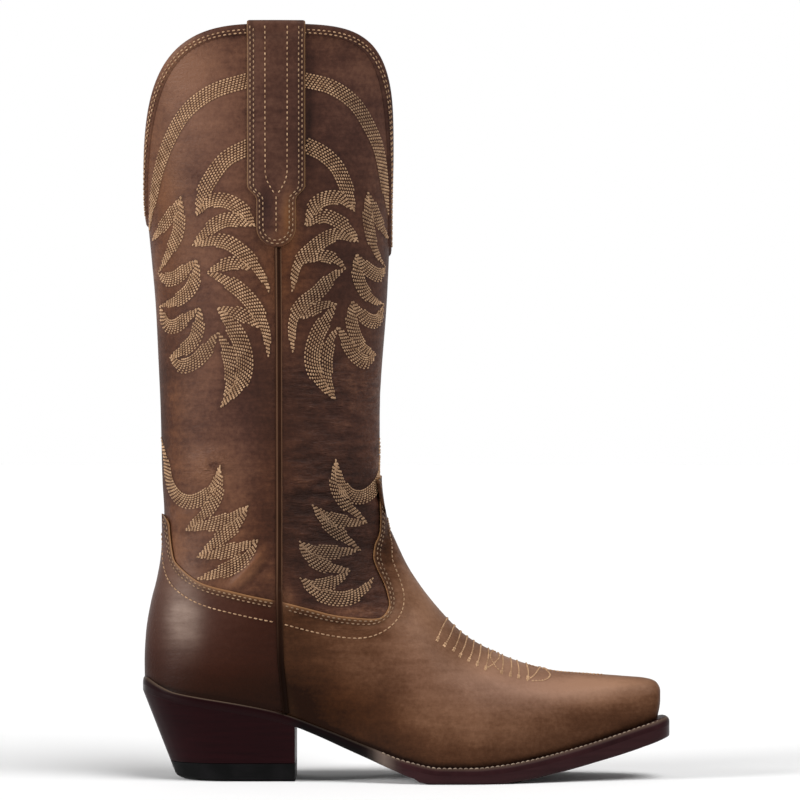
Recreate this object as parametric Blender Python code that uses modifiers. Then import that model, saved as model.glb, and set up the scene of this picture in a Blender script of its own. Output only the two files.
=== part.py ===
"""Western boot for the right foot: a hollow leather upper on a welted sole with an underslung heel.

The toe points along +X, the outer side of the foot is -Y and the boot stands on Z = 0.
Lengths are in millimetres until a mesh is made.
"""

import math

import bmesh
import bpy
import numpy as np

MM = 0.001

# Leather and clearances
WALL = 2.4
GAP = 0.3
SOLE_GAP = 0.45
PANEL = 1.2
PANEL_LIFT = GAP + PANEL
MERGE = 0.01

# Moves the boot across so that its widest points are as far from the middle on both sides
SIDE_SHIFT = -1.2

# Collar
COLLAR_TOP = 410.6
FRONT_DIP = 292.0
BACK_DIP = 308.0
FRONT_CURVE = 3.9
BACK_CURVE = 2.85
COLLAR_BAND_WIDTH = 4.5
COLLAR_BAND = 0.9

# Pull straps
STRAP_MIDDLE = -70.3
STRAP_WIDTH = 31.0
STRAP_TAIL_WIDTH = 21.0
STRAP_TIP_HALF = 2.0
STRAP_TIP = 291.0
STRAP_TAIL_TOP = 318.0
STRAP_SHOULDER = 322.0
STRAP_INSIDE_END = 345.0
STRAP = 1.6
STRAP_INSIDE_LIFT = -WALL - 0.85
STRAP_COLUMNS = 4

# Side seam bead
SEAM_TOP = 289.0
SEAM_WIDTH = 3.8
SEAM_HEIGHT = 1.5
SEAM_CUT = 0.4
SEAM_JOIN = 98.3
SEAM_STEP_TOP = 107.0
SEAM_STEP_FOOT = 103.0

# Sole and heel
WELT_INSIDE = 3.2
INSOLE_INSIDE = 3.6
INSOLE_RISE = 2.6
SOLE_BEVEL = 1.1
HALF_SOLE_START = 5.3
HALF_SOLE_STEP = 1.2
HEEL_BREAST = -60.4
HEEL_CAP_TOP = 9.6
HEEL_LENGTH_TAPER = 0.775
HEEL_WIDTH_TAPER = 0.84
HEEL_CAP_ROUND = 2.6
HEEL_CAP_TUCK = 3.2
HEEL_CAP_SIDE_TUCK = 1.9
HEEL_CAP_TURN = 30.0

# Mesh density
COLUMNS = 32
COLUMN_CROWDING = 0.5
COLLAR_ROWS = 6
COLLAR_BAND_COLUMNS = 52

# The upper is a fan of flat sections. Each runs from a base point on the sole or the back line to a
# top point on the ridge of the foot or the front line. Edge is the half width at the base, wide the
# greatest half width, wide_at its place from base to top, full the roundness above it and tuck the
# roundness below it. Out is the outer side of the foot, in the inner side.
SECTION_COLUMNS = (
    "top_x", "top_z", "base_x", "base_z", "edge_out", "edge_in", "wide_out", "wide_in", "wide_at",
    "full", "tuck",
)
SECTIONS = (
    (136.2, 31.7, 136.2, 31.7, 0.0, 0.0, 0.0, 0.0, 0.35, 2.3, 1.0),
    (137.3, 37.0, 136.1, 31.7, 3.3, 4.4, 3.3, 4.4, 0.35, 2.3, 1.0),
    (138.2, 42.6, 135.7, 31.5, 6.4, 8.6, 6.4, 8.7, 0.35, 2.3, 1.0),
    (138.2, 47.6, 134.6, 31.2, 8.8, 11.8, 9.0, 12.0, 0.35, 2.3, 1.0),
    (136.5, 51.4, 132.3, 30.5, 10.3, 14.0, 10.8, 14.5, 0.35, 2.3, 1.0),
    (131.0, 53.3, 127.5, 29.0, 11.8, 16.0, 12.6, 16.8, 0.35, 2.3, 1.0),
    (118.0, 54.4, 117.0, 25.6, 15.3, 20.2, 16.5, 21.4, 0.35, 2.2, 1.0),
    (101.0, 55.7, 101.0, 20.7, 20.8, 26.3, 22.4, 27.8, 0.34, 2.1, 1.0),
    (83.0, 57.1, 84.0, 16.2, 27.4, 32.4, 29.2, 34.2, 0.33, 2.0, 1.0),
    (65.0, 61.3, 67.0, 12.4, 33.8, 37.8, 35.8, 39.8, 0.32, 1.95, 1.0),
    (48.0, 67.8, 51.0, 9.9, 39.2, 40.6, 41.2, 42.4, 0.31, 1.9, 1.0),
    (32.0, 76.8, 36.0, 8.7, 42.4, 39.6, 44.0, 41.6, 0.31, 1.85, 1.0),
    (18.0, 90.5, 19.0, 8.8, 43.0, 35.0, 44.2, 38.6, 0.32, 1.8, 1.0),
    (7.0, 104.3, 0.0, 12.3, 39.8, 27.6, 41.6, 36.2, 0.34, 1.8, 1.0),
    (-0.5, 115.8, -22.0, 20.4, 34.0, 21.0, 38.6, 34.6, 0.37, 1.8, 1.0),
    (-5.6, 126.3, -45.0, 29.4, 29.8, 20.6, 36.2, 33.8, 0.4, 1.85, 1.0),
    (-9.2, 134.8, -70.0, 38.2, 28.6, 25.2, 34.8, 33.5, 0.43, 1.9, 1.0),
    (-11.7, 142.5, -92.0, 42.7, 29.0, 28.2, 34.2, 33.6, 0.45, 1.95, 1.0),
    (-13.2, 150.0, -112.0, 45.9, 28.3, 28.3, 34.0, 33.8, 0.47, 2.0, 0.95),
    (-14.2, 157.0, -127.0, 48.6, 23.6, 23.6, 34.0, 34.0, 0.48, 2.0, 0.85),
    (-14.7, 164.0, -136.5, 51.4, 15.6, 15.6, 34.0, 34.0, 0.49, 2.0, 0.72),
    (-14.7, 171.0, -140.8, 53.2, 7.6, 7.6, 34.0, 34.0, 0.5, 2.0, 0.6),
    (-14.5, 178.0, -142.0, 53.9, 0.0, 0.0, 34.0, 34.0, 0.5, 2.0, 0.5),
    (-14.4, 184.0, -142.2, 65.0, 0.0, 0.0, 34.0, 34.0, 0.5, 2.0, 0.5),
    (-14.4, 189.0, -141.4, 80.0, 0.0, 0.0, 34.2, 34.2, 0.5, 2.0, 0.5),
    (-14.4, 194.0, -138.6, 97.0, 0.0, 0.0, 34.4, 34.4, 0.5, 2.0, 0.5),
    (-14.4, 199.0, -134.5, 113.0, 0.0, 0.0, 34.8, 34.8, 0.5, 2.0, 0.5),
    (-14.3, 204.5, -132.7, 129.0, 0.0, 0.0, 35.3, 35.3, 0.5, 2.0, 0.5),
    (-14.2, 210.0, -132.9, 146.0, 0.0, 0.0, 36.0, 36.0, 0.5, 2.0, 0.5),
    (-13.8, 217.0, -133.9, 164.0, 0.0, 0.0, 36.8, 36.8, 0.5, 2.0, 0.5),
    (-13.3, 225.0, -134.4, 183.0, 0.0, 0.0, 37.6, 37.6, 0.5, 2.0, 0.5),
    (-12.6, 234.0, -134.9, 203.0, 0.0, 0.0, 38.6, 38.6, 0.5, 2.0, 0.5),
    (-11.6, 246.0, -136.0, 228.0, 0.0, 0.0, 39.8, 39.8, 0.5, 2.0, 0.5),
    (-10.6, 260.0, -137.6, 260.0, 0.0, 0.0, 41.0, 41.0, 0.5, 2.0, 0.5),
    (-9.4, 285.0, -139.8, 285.0, 0.0, 0.0, 42.4, 42.4, 0.5, 2.0, 0.5),
    (-8.6, 310.0, -142.2, 310.0, 0.0, 0.0, 43.0, 43.0, 0.5, 2.0, 0.5),
    (-6.0, 345.0, -144.4, 345.0, 0.0, 0.0, 43.0, 43.0, 0.5, 2.0, 0.5),
    (-2.0, 380.0, -146.6, 380.0, 0.0, 0.0, 42.6, 42.6, 0.5, 2.0, 0.5),
    (1.5, 414.0, -148.4, 414.0, 0.0, 0.0, 42.0, 42.0, 0.5, 2.0, 0.5),
)
HEEL_BACK_ROW = 22
LEVEL_ROW = 33

# Along the sole: x, how far the welt stands out past the upper, how thick the welt is, and the
# height of the sole's underside
SOLE_COLUMNS = ("x", "margin", "welt", "under")
SOLE_ROWS = (
    (-146.0, 2.6, 1.7, 48.6),
    (-134.0, 2.6, 1.7, 45.2),
    (-125.0, 2.6, 1.7, 42.6),
    (-106.0, 2.6, 1.7, 39.4),
    (-81.0, 2.6, 1.8, 35.2),
    (-60.0, 2.6, 2.0, 29.9),
    (-46.7, 2.7, 2.2, 24.4),
    (-33.7, 2.9, 2.5, 18.6),
    (-20.6, 3.4, 2.8, 13.0),
    (-7.6, 4.2, 3.1, 7.4),
    (5.3, 4.9, 3.3, 2.6),
    (12.0, 5.1, 3.4, 1.2),
    (48.0, 5.5, 3.5, 0.0),
    (57.0, 5.7, 3.6, 1.7),
    (64.0, 5.8, 3.6, 2.7),
    (77.0, 6.0, 3.7, 5.2),
    (90.0, 6.3, 3.8, 8.0),
    (103.0, 6.7, 3.8, 11.4),
    (117.0, 7.4, 3.8, 15.2),
    (130.0, 8.2, 3.8, 19.4),
    (146.0, 9.0, 3.8, 25.2),
)
FLAT_START = 12.0
FLAT_END = 48.0

# Side view lines, x and z
SEAM_LINE = ((-69.3, 289.0), (-69.0, 250.0), (-69.0, 150.0), (-69.0, 105.0), (-68.0, 66.0), (-65.0, 36.0))
VAMP_EDGE = (
    (-51.4, 93.8), (-39.5, 90.8), (-26.6, 89.1), (-16.3, 88.6), (-12.0, 90.6), (-9.6, 95.5),
    (-10.4, 101.0), (-12.5, 107.6), (-16.4, 115.9), (-18.2, 121.4), (-17.5, 128.4), (-15.4, 133.7),
    (-14.6, 142.3), (-15.0, 153.7), (-16.2, 160.0), (-17.2, 165.0),
)
COUNTER_EDGE = (
    (-83.1, 101.0), (-94.2, 103.6), (-102.4, 105.4), (-110.9, 108.0), (-116.7, 111.4), (-122.4, 116.1),
    (-125.8, 120.3), (-127.4, 127.8), (-129.0, 139.4), (-131.4, 143.4), (-136.0, 146.5),
)
VAMP_LAST_ROW = 25
COUNTER_FIRST_ROW = 13
COUNTER_LAST_ROW = 30
PAST_TOE = 160.0
PAST_HEEL = -160.0
CUTTER_HALF_WIDTH = 80.0


def smooth_rows(rows, position):
    """Every column of an evenly numbered table, read smoothly and without overshoot at any position."""
    table = np.array(rows, float)
    step = np.diff(table, axis=0)
    before, after = step[:-1], step[1:]
    same_way = before * after > 0
    total = np.where(same_way, before + after, 1.0)
    inner = np.where(same_way, 2.0 * before * after / total, 0.0)
    slope = np.vstack((step[:1], inner, step[-1:]))
    position = np.clip(np.asarray(position, float), 0.0, len(table) - 1)
    low = np.minimum(position.astype(int), len(table) - 2)
    t = (position - low)[..., None]
    rise = step[low]
    first, second = slope[low], slope[low + 1]
    bend, twist = 3 * rise - 2 * first - second, first + second - 2 * rise
    return table[low] + t * (first + t * (bend + t * twist))


def section_at(station):
    values = smooth_rows(SECTIONS, station)
    return {name: values[..., i] for i, name in enumerate(SECTION_COLUMNS)}


def skin(station, around):
    """Points on the upper's outer face. Around is 0 on the ridge and the front line, -1 and 1 at the
    base, and negative on the outer side of the foot."""
    station, around = np.broadcast_arrays(np.asarray(station, float), np.asarray(around, float))
    row = section_at(station)
    side = np.clip(np.abs(around), 0.0, 1.0)
    outer = around < 0
    edge = np.where(outer, row["edge_out"], row["edge_in"])
    wide = np.where(outer, row["wide_out"], row["wide_in"])
    over = np.minimum(side, 0.5) * math.pi
    under = (1.0 - np.maximum(side, 0.5)) * math.pi
    power = 2.0 / row["full"]
    cos_over = np.maximum(np.cos(over), 0.0)
    sin_under = np.maximum(np.sin(under), 0.0)
    above = side <= 0.5
    along_above = row["wide_at"] + (1.0 - row["wide_at"]) * cos_over ** power
    along_below = row["wide_at"] * (1.0 - np.cos(under))
    across_above = wide * np.sin(over) ** power
    across_below = edge + (wide - edge) * sin_under ** (2.0 * row["tuck"])
    along = np.where(above, along_above, along_below)
    across = np.where(above, across_above, across_below)
    x = row["base_x"] + (row["top_x"] - row["base_x"]) * along
    z = row["base_z"] + (row["top_z"] - row["base_z"]) * along
    return np.stack((x, np.sign(around) * across, z), axis=-1)


def skin_normal(station, around):
    """Outward normals of the upper's outer face."""
    small = 0.02
    on_back_line = (np.asarray(station) >= HEEL_BACK_ROW) & (np.abs(around) > 0.999)
    station = np.maximum(np.asarray(station, float), 0.5)
    around = np.clip(np.asarray(around, float), -0.985, 0.985)
    along = skin(station + small, around) - skin(station - small, around)
    across = skin(station, around + 0.01) - skin(station, around - 0.01)
    normal = np.cross(across, along)
    normal[..., 1] = np.where(on_back_line, 0.0, normal[..., 1])
    return normal / np.linalg.norm(normal, axis=-1, keepdims=True)


def lifted(station, around, lift):
    """Points held off the upper's outer face, or inside it where lift is negative."""
    station, around = np.broadcast_arrays(np.asarray(station, float), np.asarray(around, float))
    facing = np.where(station > 0, around, 0.0)
    return skin(station, around) + skin_normal(station, facing) * np.asarray(lift, float)[..., None]


def station_at_height(z):
    """Station of a height on the shaft, where the sections are level."""
    stations = np.linspace(LEVEL_ROW, len(SECTIONS) - 1, 120)
    return np.interp(z, section_at(stations)["top_z"], stations)


def station_at_base(x):
    """Station whose base stands at a place along the sole."""
    stations = np.linspace(0.0, HEEL_BACK_ROW, 400)
    return float(np.interp(-x, -section_at(stations)["base_x"], stations))


def locate(x, z, side):
    """Station and around of the point that shows at x, z from the side; side is -1 outer, 1 inner."""
    stations, arounds = np.meshgrid(np.arange(6.0, len(SECTIONS) - 1, 0.25), np.arange(0.1, 0.96, 0.02) * side)
    miss = skin(stations, arounds)[..., [0, 2]] - (x, z)
    best = np.argmin((miss ** 2).sum(axis=-1))
    guess = np.array((stations.flat[best], arounds.flat[best]))
    for _ in range(8):
        here = skin(*guess)[[0, 2]]
        by_station = (skin(guess[0] + 0.01, guess[1])[[0, 2]] - here) / 0.01
        by_around = (skin(guess[0], guess[1] + 0.001)[[0, 2]] - here) / 0.001
        guess = guess + np.linalg.solve(np.stack((by_station, by_around), axis=1), np.array((x, z)) - here)
    return guess


def collar_height(around):
    """Height of the collar's edge: high at the sides, dipped at the front and the back."""
    side = np.abs(around)
    front = side <= 0.5
    reach = np.where(front, side, 1.0 - side) / 0.5
    dip = np.where(front, FRONT_DIP, BACK_DIP)
    curve = np.where(front, FRONT_CURVE, BACK_CURVE)
    return dip + (COLLAR_TOP - dip) * (1.0 - (1.0 - reach) ** curve)


def crowded(count):
    """Values from -1 to 1, closer together at the ridge and at the base."""
    even = np.linspace(-1.0, 1.0, count + 1)
    return even - COLUMN_CROWDING * np.sin(2 * math.pi * even) / (2 * math.pi)


def upper_grid():
    """Stations and arounds of the upper's rows and columns, toe first and collar last."""
    arounds = crowded(COLUMNS)
    level_z = SECTIONS[LEVEL_ROW][1]
    rows = [np.full_like(arounds, row) for row in range(LEVEL_ROW + 1)]
    for step in range(1, COLLAR_ROWS + 1):
        rows.append(station_at_height(level_z + (collar_height(arounds) - level_z) * step / COLLAR_ROWS))
    return np.array(rows), np.tile(arounds, (len(rows), 1))


def sole_at(x):
    columns = np.array(SOLE_ROWS).T
    return {name: np.interp(x, columns[0], columns[i]) for i, name in enumerate(SOLE_COLUMNS)}


def sole_top(x):
    """Height of the welt's upper face."""
    rows = SECTIONS[HEEL_BACK_ROW::-1]
    xs = np.array([row[2] for row in rows])
    zs = np.array([row[3] for row in rows]) - GAP
    toe_slope = (zs[-4] - zs[-6]) / (xs[-4] - xs[-6])
    past_toe = np.maximum(np.asarray(x, float) - xs[-4], 0.0)
    return np.interp(np.minimum(x, xs[-4]), xs, zs) + toe_slope * past_toe


def sole_under(x):
    """Height of the sole's underside, with the step where the half sole starts."""
    x = np.asarray(x, float)
    height = sole_at(x)["under"]
    height = np.where(x > HALF_SOLE_START, height - HALF_SOLE_STEP, height)
    flat = (x >= FLAT_START - 1.0) & (x <= FLAT_END + 1.0)
    return np.maximum(np.where(flat, 0.0, height), 0.0)


def sole_stations():
    """Stations along the sole, with extra ones at the half sole's step, the flat and the breast."""
    extra = [HALF_SOLE_START + 0.2, HALF_SOLE_START - 0.2, FLAT_START, FLAT_END, HEEL_BREAST]
    stations = list(np.arange(0.0, HEEL_BACK_ROW + 0.1, 1.0)) + [9.5, 12.4, 14.5, 15.5, 21.6]
    return sorted(stations + [station_at_base(x) for x in extra])


def feather_line(stations, side):
    """Plan points where the upper meets the sole on one side, and their outward normals."""
    fine = np.asarray(stations, float)
    points = skin(fine, np.full_like(fine, side))[:, :2]
    small = 0.05
    ahead = skin(fine - small, np.full_like(fine, side))[:, :2]
    behind = skin(fine + small, np.full_like(fine, side))[:, :2]
    run = ahead - behind
    normal = np.stack((-run[:, 1], run[:, 0]), axis=1) * side
    length = np.linalg.norm(normal, axis=1, keepdims=True)
    normal = normal / np.maximum(length, 1e-9)
    normal[0] = (1.0, 0.0)
    normal[fine >= HEEL_BACK_ROW] = (-1.0, 0.0)
    return points, normal


def sole_outline(stations, side, inset=None):
    """Plan points of the sole's edge, or of a line a given way inside the feather line."""
    points, normal = feather_line(stations, side)
    out = sole_at(points[:, 0])["margin"] if inset is None else np.full(len(points), -inset)
    return points + normal * out[:, None]


def clear_file():
    for thing in list(bpy.data.objects):
        bpy.data.objects.remove(thing, do_unlink=True)


def make_collection(name):
    group = bpy.data.collections.new(name)
    bpy.context.scene.collection.children.link(group)
    return group


def make_material(name, colour, roughness):
    material = bpy.data.materials.new(name)
    material.use_nodes = True
    shader = material.node_tree.nodes["Principled BSDF"]
    shader.inputs["Base Color"].default_value = (*colour, 1.0)
    shader.inputs["Roughness"].default_value = roughness
    material.diffuse_color = (*colour, 1.0)
    return material


def make_object(name, points, faces, group, material=None, closed=True):
    """Object from points in millimetres; a closed one has its faces turned outward."""
    mesh = bpy.data.meshes.new(name)
    mesh.from_pydata([(x * MM, (y + SIDE_SHIFT) * MM, z * MM) for x, y, z in points], [], faces)
    work = bmesh.new()
    work.from_mesh(mesh)
    bmesh.ops.remove_doubles(work, verts=work.verts, dist=MERGE * MM)
    bmesh.ops.dissolve_degenerate(work, edges=work.edges, dist=MERGE * MM / 10)
    if closed:
        bmesh.ops.recalc_face_normals(work, faces=work.faces)
    work.to_mesh(mesh)
    work.free()
    mesh.shade_smooth()
    mesh.set_sharp_from_angle(angle=math.radians(35))
    thing = bpy.data.objects.new(name, mesh)
    group.objects.link(thing)
    if material:
        mesh.materials.append(material)
    return thing


def grid_faces(rows, columns):
    """Triangles of a grid, the same way on every sheet so that sheets lie evenly on each other."""
    faces = []
    for i in range(rows - 1):
        for j in range(columns - 1):
            a = i * columns + j
            b, c, d = a + 1, a + columns + 1, a + columns
            faces += [(a, b, c), (a, c, d)] if j >= columns // 2 else [(a, b, d), (b, c, d)]
    return faces


def make_sheet(name, points, group, material, thickness, offset):
    """Open surface from a grid of points, thickened along its normals."""
    rows, columns = points.shape[:2]
    thing = make_object(name, points.reshape(-1, 3), grid_faces(rows, columns), group, material, closed=False)
    shell = thing.modifiers.new("leather", "SOLIDIFY")
    shell.thickness = thickness * MM
    shell.offset = offset
    return thing


def make_loft(name, rings, group, material, wrap=False):
    """Solid through rings of points; the ends are capped unless the rings join up."""
    size = len(rings[0])
    points = [point for ring in rings for point in ring]
    faces = []
    for i in range(len(rings) if wrap else len(rings) - 1):
        start, following = i * size, (i + 1) % len(rings) * size
        for j in range(size):
            k = (j + 1) % size
            faces.append((start + j, start + k, following + k, following + j))
    if not wrap:
        faces.append(tuple(reversed(range(size))))
        faces.append(tuple(range(len(points) - size, len(points))))
    return make_object(name, points, faces, group, material)


def make_cutter(name, outline, group):
    """Prism across the boot from a side view outline of x, z points."""
    count = len(outline)
    points = [(x, y, z) for y in (-CUTTER_HALF_WIDTH, CUTTER_HALF_WIDTH) for x, z in outline]
    faces = [(i, (i + 1) % count, (i + 1) % count + count, i + count) for i in range(count)]
    faces += [tuple(reversed(range(count))), tuple(range(count, 2 * count))]
    cutter = make_object(name, points, faces, group)
    cutter.hide_render = True
    cutter.display_type = "WIRE"
    return cutter


def keep_inside(thing, cutter):
    cut = thing.modifiers.new("outline", "BOOLEAN")
    cut.operation = "INTERSECT"
    cut.solver = "EXACT"
    cut.object = cutter


def seam_x(z):
    """Place of the side seam at a height."""
    xs, zs = np.array(SEAM_LINE[::-1]).T
    return float(np.interp(z, zs, xs))


def seam_foot():
    """Height at which the side seam meets the welt."""
    return float(sole_top(SEAM_LINE[-1][0])) + GAP


def panel_outline(shift, edge, past):
    """Side view outline of a foot panel: up the seam, along its upper edge to a place past the boot,
    and back just above the welt."""
    seam = [(seam_x(z) + shift, z) for z in np.linspace(seam_foot() + 6.0, SEAM_JOIN, 6)]
    along_sole = np.linspace(past, SEAM_LINE[-1][0] + shift, 22)
    above_welt = [(float(x), float(sole_top(x)) + GAP) for x in along_sole]
    return seam + list(edge) + [(past, edge[-1][1] + 1.0)] + above_welt


def make_upper(group, material):
    stations, arounds = upper_grid()
    return make_sheet("upper", skin(stations, arounds), group, material, WALL, -1.0)


def make_panel(name, rows, outline, group, cutters, material):
    """Leather panel lying on the upper, between two rows and inside a side view outline."""
    stations, arounds = upper_grid()
    points = lifted(stations[rows], arounds[rows], np.array(GAP))
    panel = make_sheet(name, points, group, material, PANEL, 1.0)
    keep_inside(panel, make_cutter(name + "_outline", outline, cutters))
    return panel


def make_vamp(group, cutters, material):
    outline = panel_outline(SEAM_CUT, VAMP_EDGE, PAST_TOE)
    return make_panel("vamp", slice(0, VAMP_LAST_ROW + 1), outline, group, cutters, material)


def make_counter(group, cutters, material):
    outline = panel_outline(-SEAM_CUT, COUNTER_EDGE, PAST_HEEL)
    rows = slice(COUNTER_FIRST_ROW, COUNTER_LAST_ROW + 1)
    return make_panel("counter", rows, outline, group, cutters, material)


def on_collar(around):
    return skin(station_at_height(collar_height(around)), around)


def make_collar_band(group, material):
    """Narrow strip along the collar's edge, its lower line a fixed way square to the edge."""
    arounds = crowded(COLLAR_BAND_COLUMNS)
    step = 0.004
    before, after = np.clip(arounds - step, -1.0, 1.0), np.clip(arounds + step, -1.0, 1.0)
    run = on_collar(after) - on_collar(before)
    level = np.linalg.norm(run[:, :2], axis=1)
    tilt = np.arctan2(run[:, 2], level)
    dips = [0, len(arounds) // 2, len(arounds) - 1]
    tilt[dips] = 0.0
    lower_around = arounds + COLLAR_BAND_WIDTH * np.sin(tilt) * (after - before) / level
    lower_z = collar_height(arounds) - COLLAR_BAND_WIDTH * np.cos(tilt)
    lower = lifted(station_at_height(lower_z), np.clip(lower_around, -1.0, 1.0), np.array(GAP))
    upper = lifted(station_at_height(collar_height(arounds)), arounds, np.array(GAP))
    return make_sheet("collar_band", np.array((lower, upper)), group, material, COLLAR_BAND, 1.0)


def strap_half_width(z):
    """Half width of the pull strap's outer leg: a rounded tail below square shoulders."""
    tail = STRAP_TAIL_WIDTH / 2
    shoulder = (z - STRAP_TAIL_TOP) / (STRAP_SHOULDER - STRAP_TAIL_TOP)
    widened = tail + (STRAP_WIDTH / 2 - tail) * min(max(shoulder, 0.0), 1.0)
    below_round = max(STRAP_TIP + tail - z, 0.0)
    rounded = math.sqrt(max(tail ** 2 - below_round ** 2, STRAP_TIP_HALF ** 2))
    return min(widened, rounded) if below_round else widened


def strap_path():
    """Rows of the pull strap from its tip, over the collar and down inside: height, lift of the face
    that lies on the boot, and the way the strap's thickness runs, outward and upward."""
    outside, corner_out, corner_in, inside = (1.0, 0.0), (0.75, 0.66), (-0.75, 0.66), (-1.0, 0.0)
    over_band = GAP + COLLAR_BAND + GAP
    tail = [STRAP_TIP + rise for rise in (0.0, 1.5, 5.0, STRAP_TAIL_WIDTH / 2, 19.0)]
    legs = (400.0, 375.0, STRAP_INSIDE_END)
    rows = [(z, GAP, outside) for z in tail + [STRAP_TAIL_TOP, STRAP_SHOULDER] + list(legs[::-1])]
    rows.append((COLLAR_TOP - COLLAR_BAND_WIDTH + 0.5, over_band, outside))
    rows.append((COLLAR_TOP + GAP, over_band, corner_out))
    rows.append((COLLAR_TOP + GAP, STRAP_INSIDE_LIFT, corner_in))
    return rows + [(z, STRAP_INSIDE_LIFT, inside) for z in legs]


def make_pull_strap(name, side, group, material):
    """Strap folded over the collar: a long leg outside and a short one inside."""
    rings = []
    for z, lift, (out, up) in strap_path():
        half = strap_half_width(z) if lift > 0 else STRAP_WIDTH / 2
        on_shaft = min(z, COLLAR_TOP)
        inner_face, outer_face = [], []
        for x in np.linspace(STRAP_MIDDLE - half, STRAP_MIDDLE + half, STRAP_COLUMNS + 1):
            station, around = locate(x, on_shaft, side)
            normal = skin_normal(station, around)
            base = skin(station, around) + normal * lift + (0.0, 0.0, z - on_shaft)
            inner_face.append(base)
            outer_face.append(base + normal * out * STRAP + np.array((0.0, 0.0, up * STRAP)))
        rings.append(inner_face + outer_face[::-1])
    return make_loft(name, rings, group, material)


def make_side_seam(name, side, group, material):
    """Rounded bead over the side seam, stepping up where it crosses onto the foot panels."""
    profile = ((-0.5, 0.0), (-0.42, 0.55), (-0.2, 0.95), (0.2, 0.95), (0.42, 0.55), (0.5, 0.0))
    on_shaft = np.linspace(SEAM_TOP, SEAM_STEP_TOP, 9)
    on_foot = np.linspace(SEAM_STEP_FOOT, seam_foot() + 1.2, 13)
    rings = []
    for z in (*on_shaft, *on_foot):
        lift = GAP if z >= SEAM_STEP_TOP else GAP + PANEL_LIFT
        ring = []
        for across, up in profile:
            station, around = locate(seam_x(z) + across * SEAM_WIDTH, z, side)
            ring.append(skin(station, around) + skin_normal(station, around) * (lift + up * SEAM_HEIGHT))
        rings.append(ring)
    return make_loft(name, rings, group, material)


def make_welt(group, material):
    """Strip all the way round between the upper and the sole."""
    stations = sole_stations()
    loop = [(-1, list(reversed(stations))), (1, stations[1:-1])]
    rings = []
    for side, places in loop:
        outer = sole_outline(places, side)
        inner = sole_outline(places, side, WELT_INSIDE)
        for (ox, oy), (ix, iy) in zip(outer, inner):
            out_top, in_top = float(sole_top(ox)), float(sole_top(ix))
            out_low = out_top - float(sole_at(ox)["welt"])
            in_low = in_top - float(sole_at(ix)["welt"])
            rings.append([(ox, oy, out_top), (ix, iy, in_top), (ix, iy, in_low), (ox, oy, out_low)])
    return make_loft("welt", rings, group, material, wrap=True)


def outsole_top(x):
    return sole_top(x) - sole_at(x)["welt"] - SOLE_GAP


def make_outsole(group, material):
    stations = sole_stations()
    left, right = (sole_outline(stations, side) for side in (-1, 1))
    rings = []
    for i in range(len(stations)):
        ring = []
        for edge, other in ((left, right), (right, left)):
            toward = other[i] - edge[i]
            reach = np.linalg.norm(toward)
            inset = min(SOLE_BEVEL, reach / 3)
            foot = edge[i] + toward / max(reach, 1e-9) * inset
            x = edge[i][0]
            low = float(sole_under(x))
            column = [(*edge[i], float(outsole_top(x))), (*edge[i], low + SOLE_BEVEL), (*foot, low)]
            ring += column if edge is left else column[::-1]
        rings.append(ring)
    return make_loft("outsole", rings, group, material)


def make_insole(group, material):
    stations = sole_stations()
    left, right = (sole_outline(stations, side, INSOLE_INSIDE) for side in (-1, 1))
    rings = []
    for edge_left, edge_right in zip(left, right):
        ring = []
        for edge, order in ((edge_left, 1), (edge_right, -1)):
            x = edge[0]
            column = [(*edge, float(sole_top(x)) + INSOLE_RISE), (*edge, float(outsole_top(x)) + GAP)]
            ring += column[::order]
        rings.append(ring)
    return make_loft("insole", rings, group, material)


def heel_point(edge, level):
    """Point on the heel's side below a point of the sole's edge; level is 0 at the sole, 1 at the floor."""
    x, y = edge
    length = 1.0 + (HEEL_LENGTH_TAPER - 1.0) * level
    width = 1.0 + (HEEL_WIDTH_TAPER - 1.0) * level
    return HEEL_BREAST + (x - HEEL_BREAST) * length, y * width


def heel_ring(edges, levels):
    """Ring round the heel at one station: down the outer side and up the inner side."""
    ring = []
    for edge, order in zip(edges, (1, -1)):
        top = float(sole_under(edge[0])) - GAP
        column = []
        for height in levels:
            z = top if height is None else height
            x, y = heel_point(edge, 1.0 - z / top)
            column.append((x, y, z))
        ring += column[::order]
    return ring


def heel_edges():
    stations = [s for s in sole_stations() if s >= station_at_base(HEEL_BREAST) - 1e-6]
    left, right = (sole_outline(stations, side) for side in (-1, 1))
    left[0][0] = right[0][0] = HEEL_BREAST
    return list(zip(left, right))


def make_heel(group, material):
    rings = [heel_ring(edges, (None, HEEL_CAP_TOP + GAP)) for edges in heel_edges()]
    return make_loft("heel", rings, group, material)


def make_heel_cap(group, material):
    """Rubber top piece with its rear and side edges rounded under."""
    rings = []
    for edges in heel_edges():
        ring = []
        for x, y, z in heel_ring(edges, (HEEL_CAP_TOP, HEEL_CAP_ROUND, HEEL_CAP_ROUND / 3, 0.0)):
            depth = max(HEEL_CAP_ROUND - z, 0.0) / HEEL_CAP_ROUND
            rear = min((HEEL_BREAST - x) / HEEL_CAP_TURN, 1.0)
            width = max(abs(y) - HEEL_CAP_SIDE_TUCK * depth ** 2, 0.0)
            ring.append((x + HEEL_CAP_TUCK * depth ** 2 * rear, math.copysign(width, y), z))
        rings.append(ring)
    return make_loft("heel_cap", rings, group, material)


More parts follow.
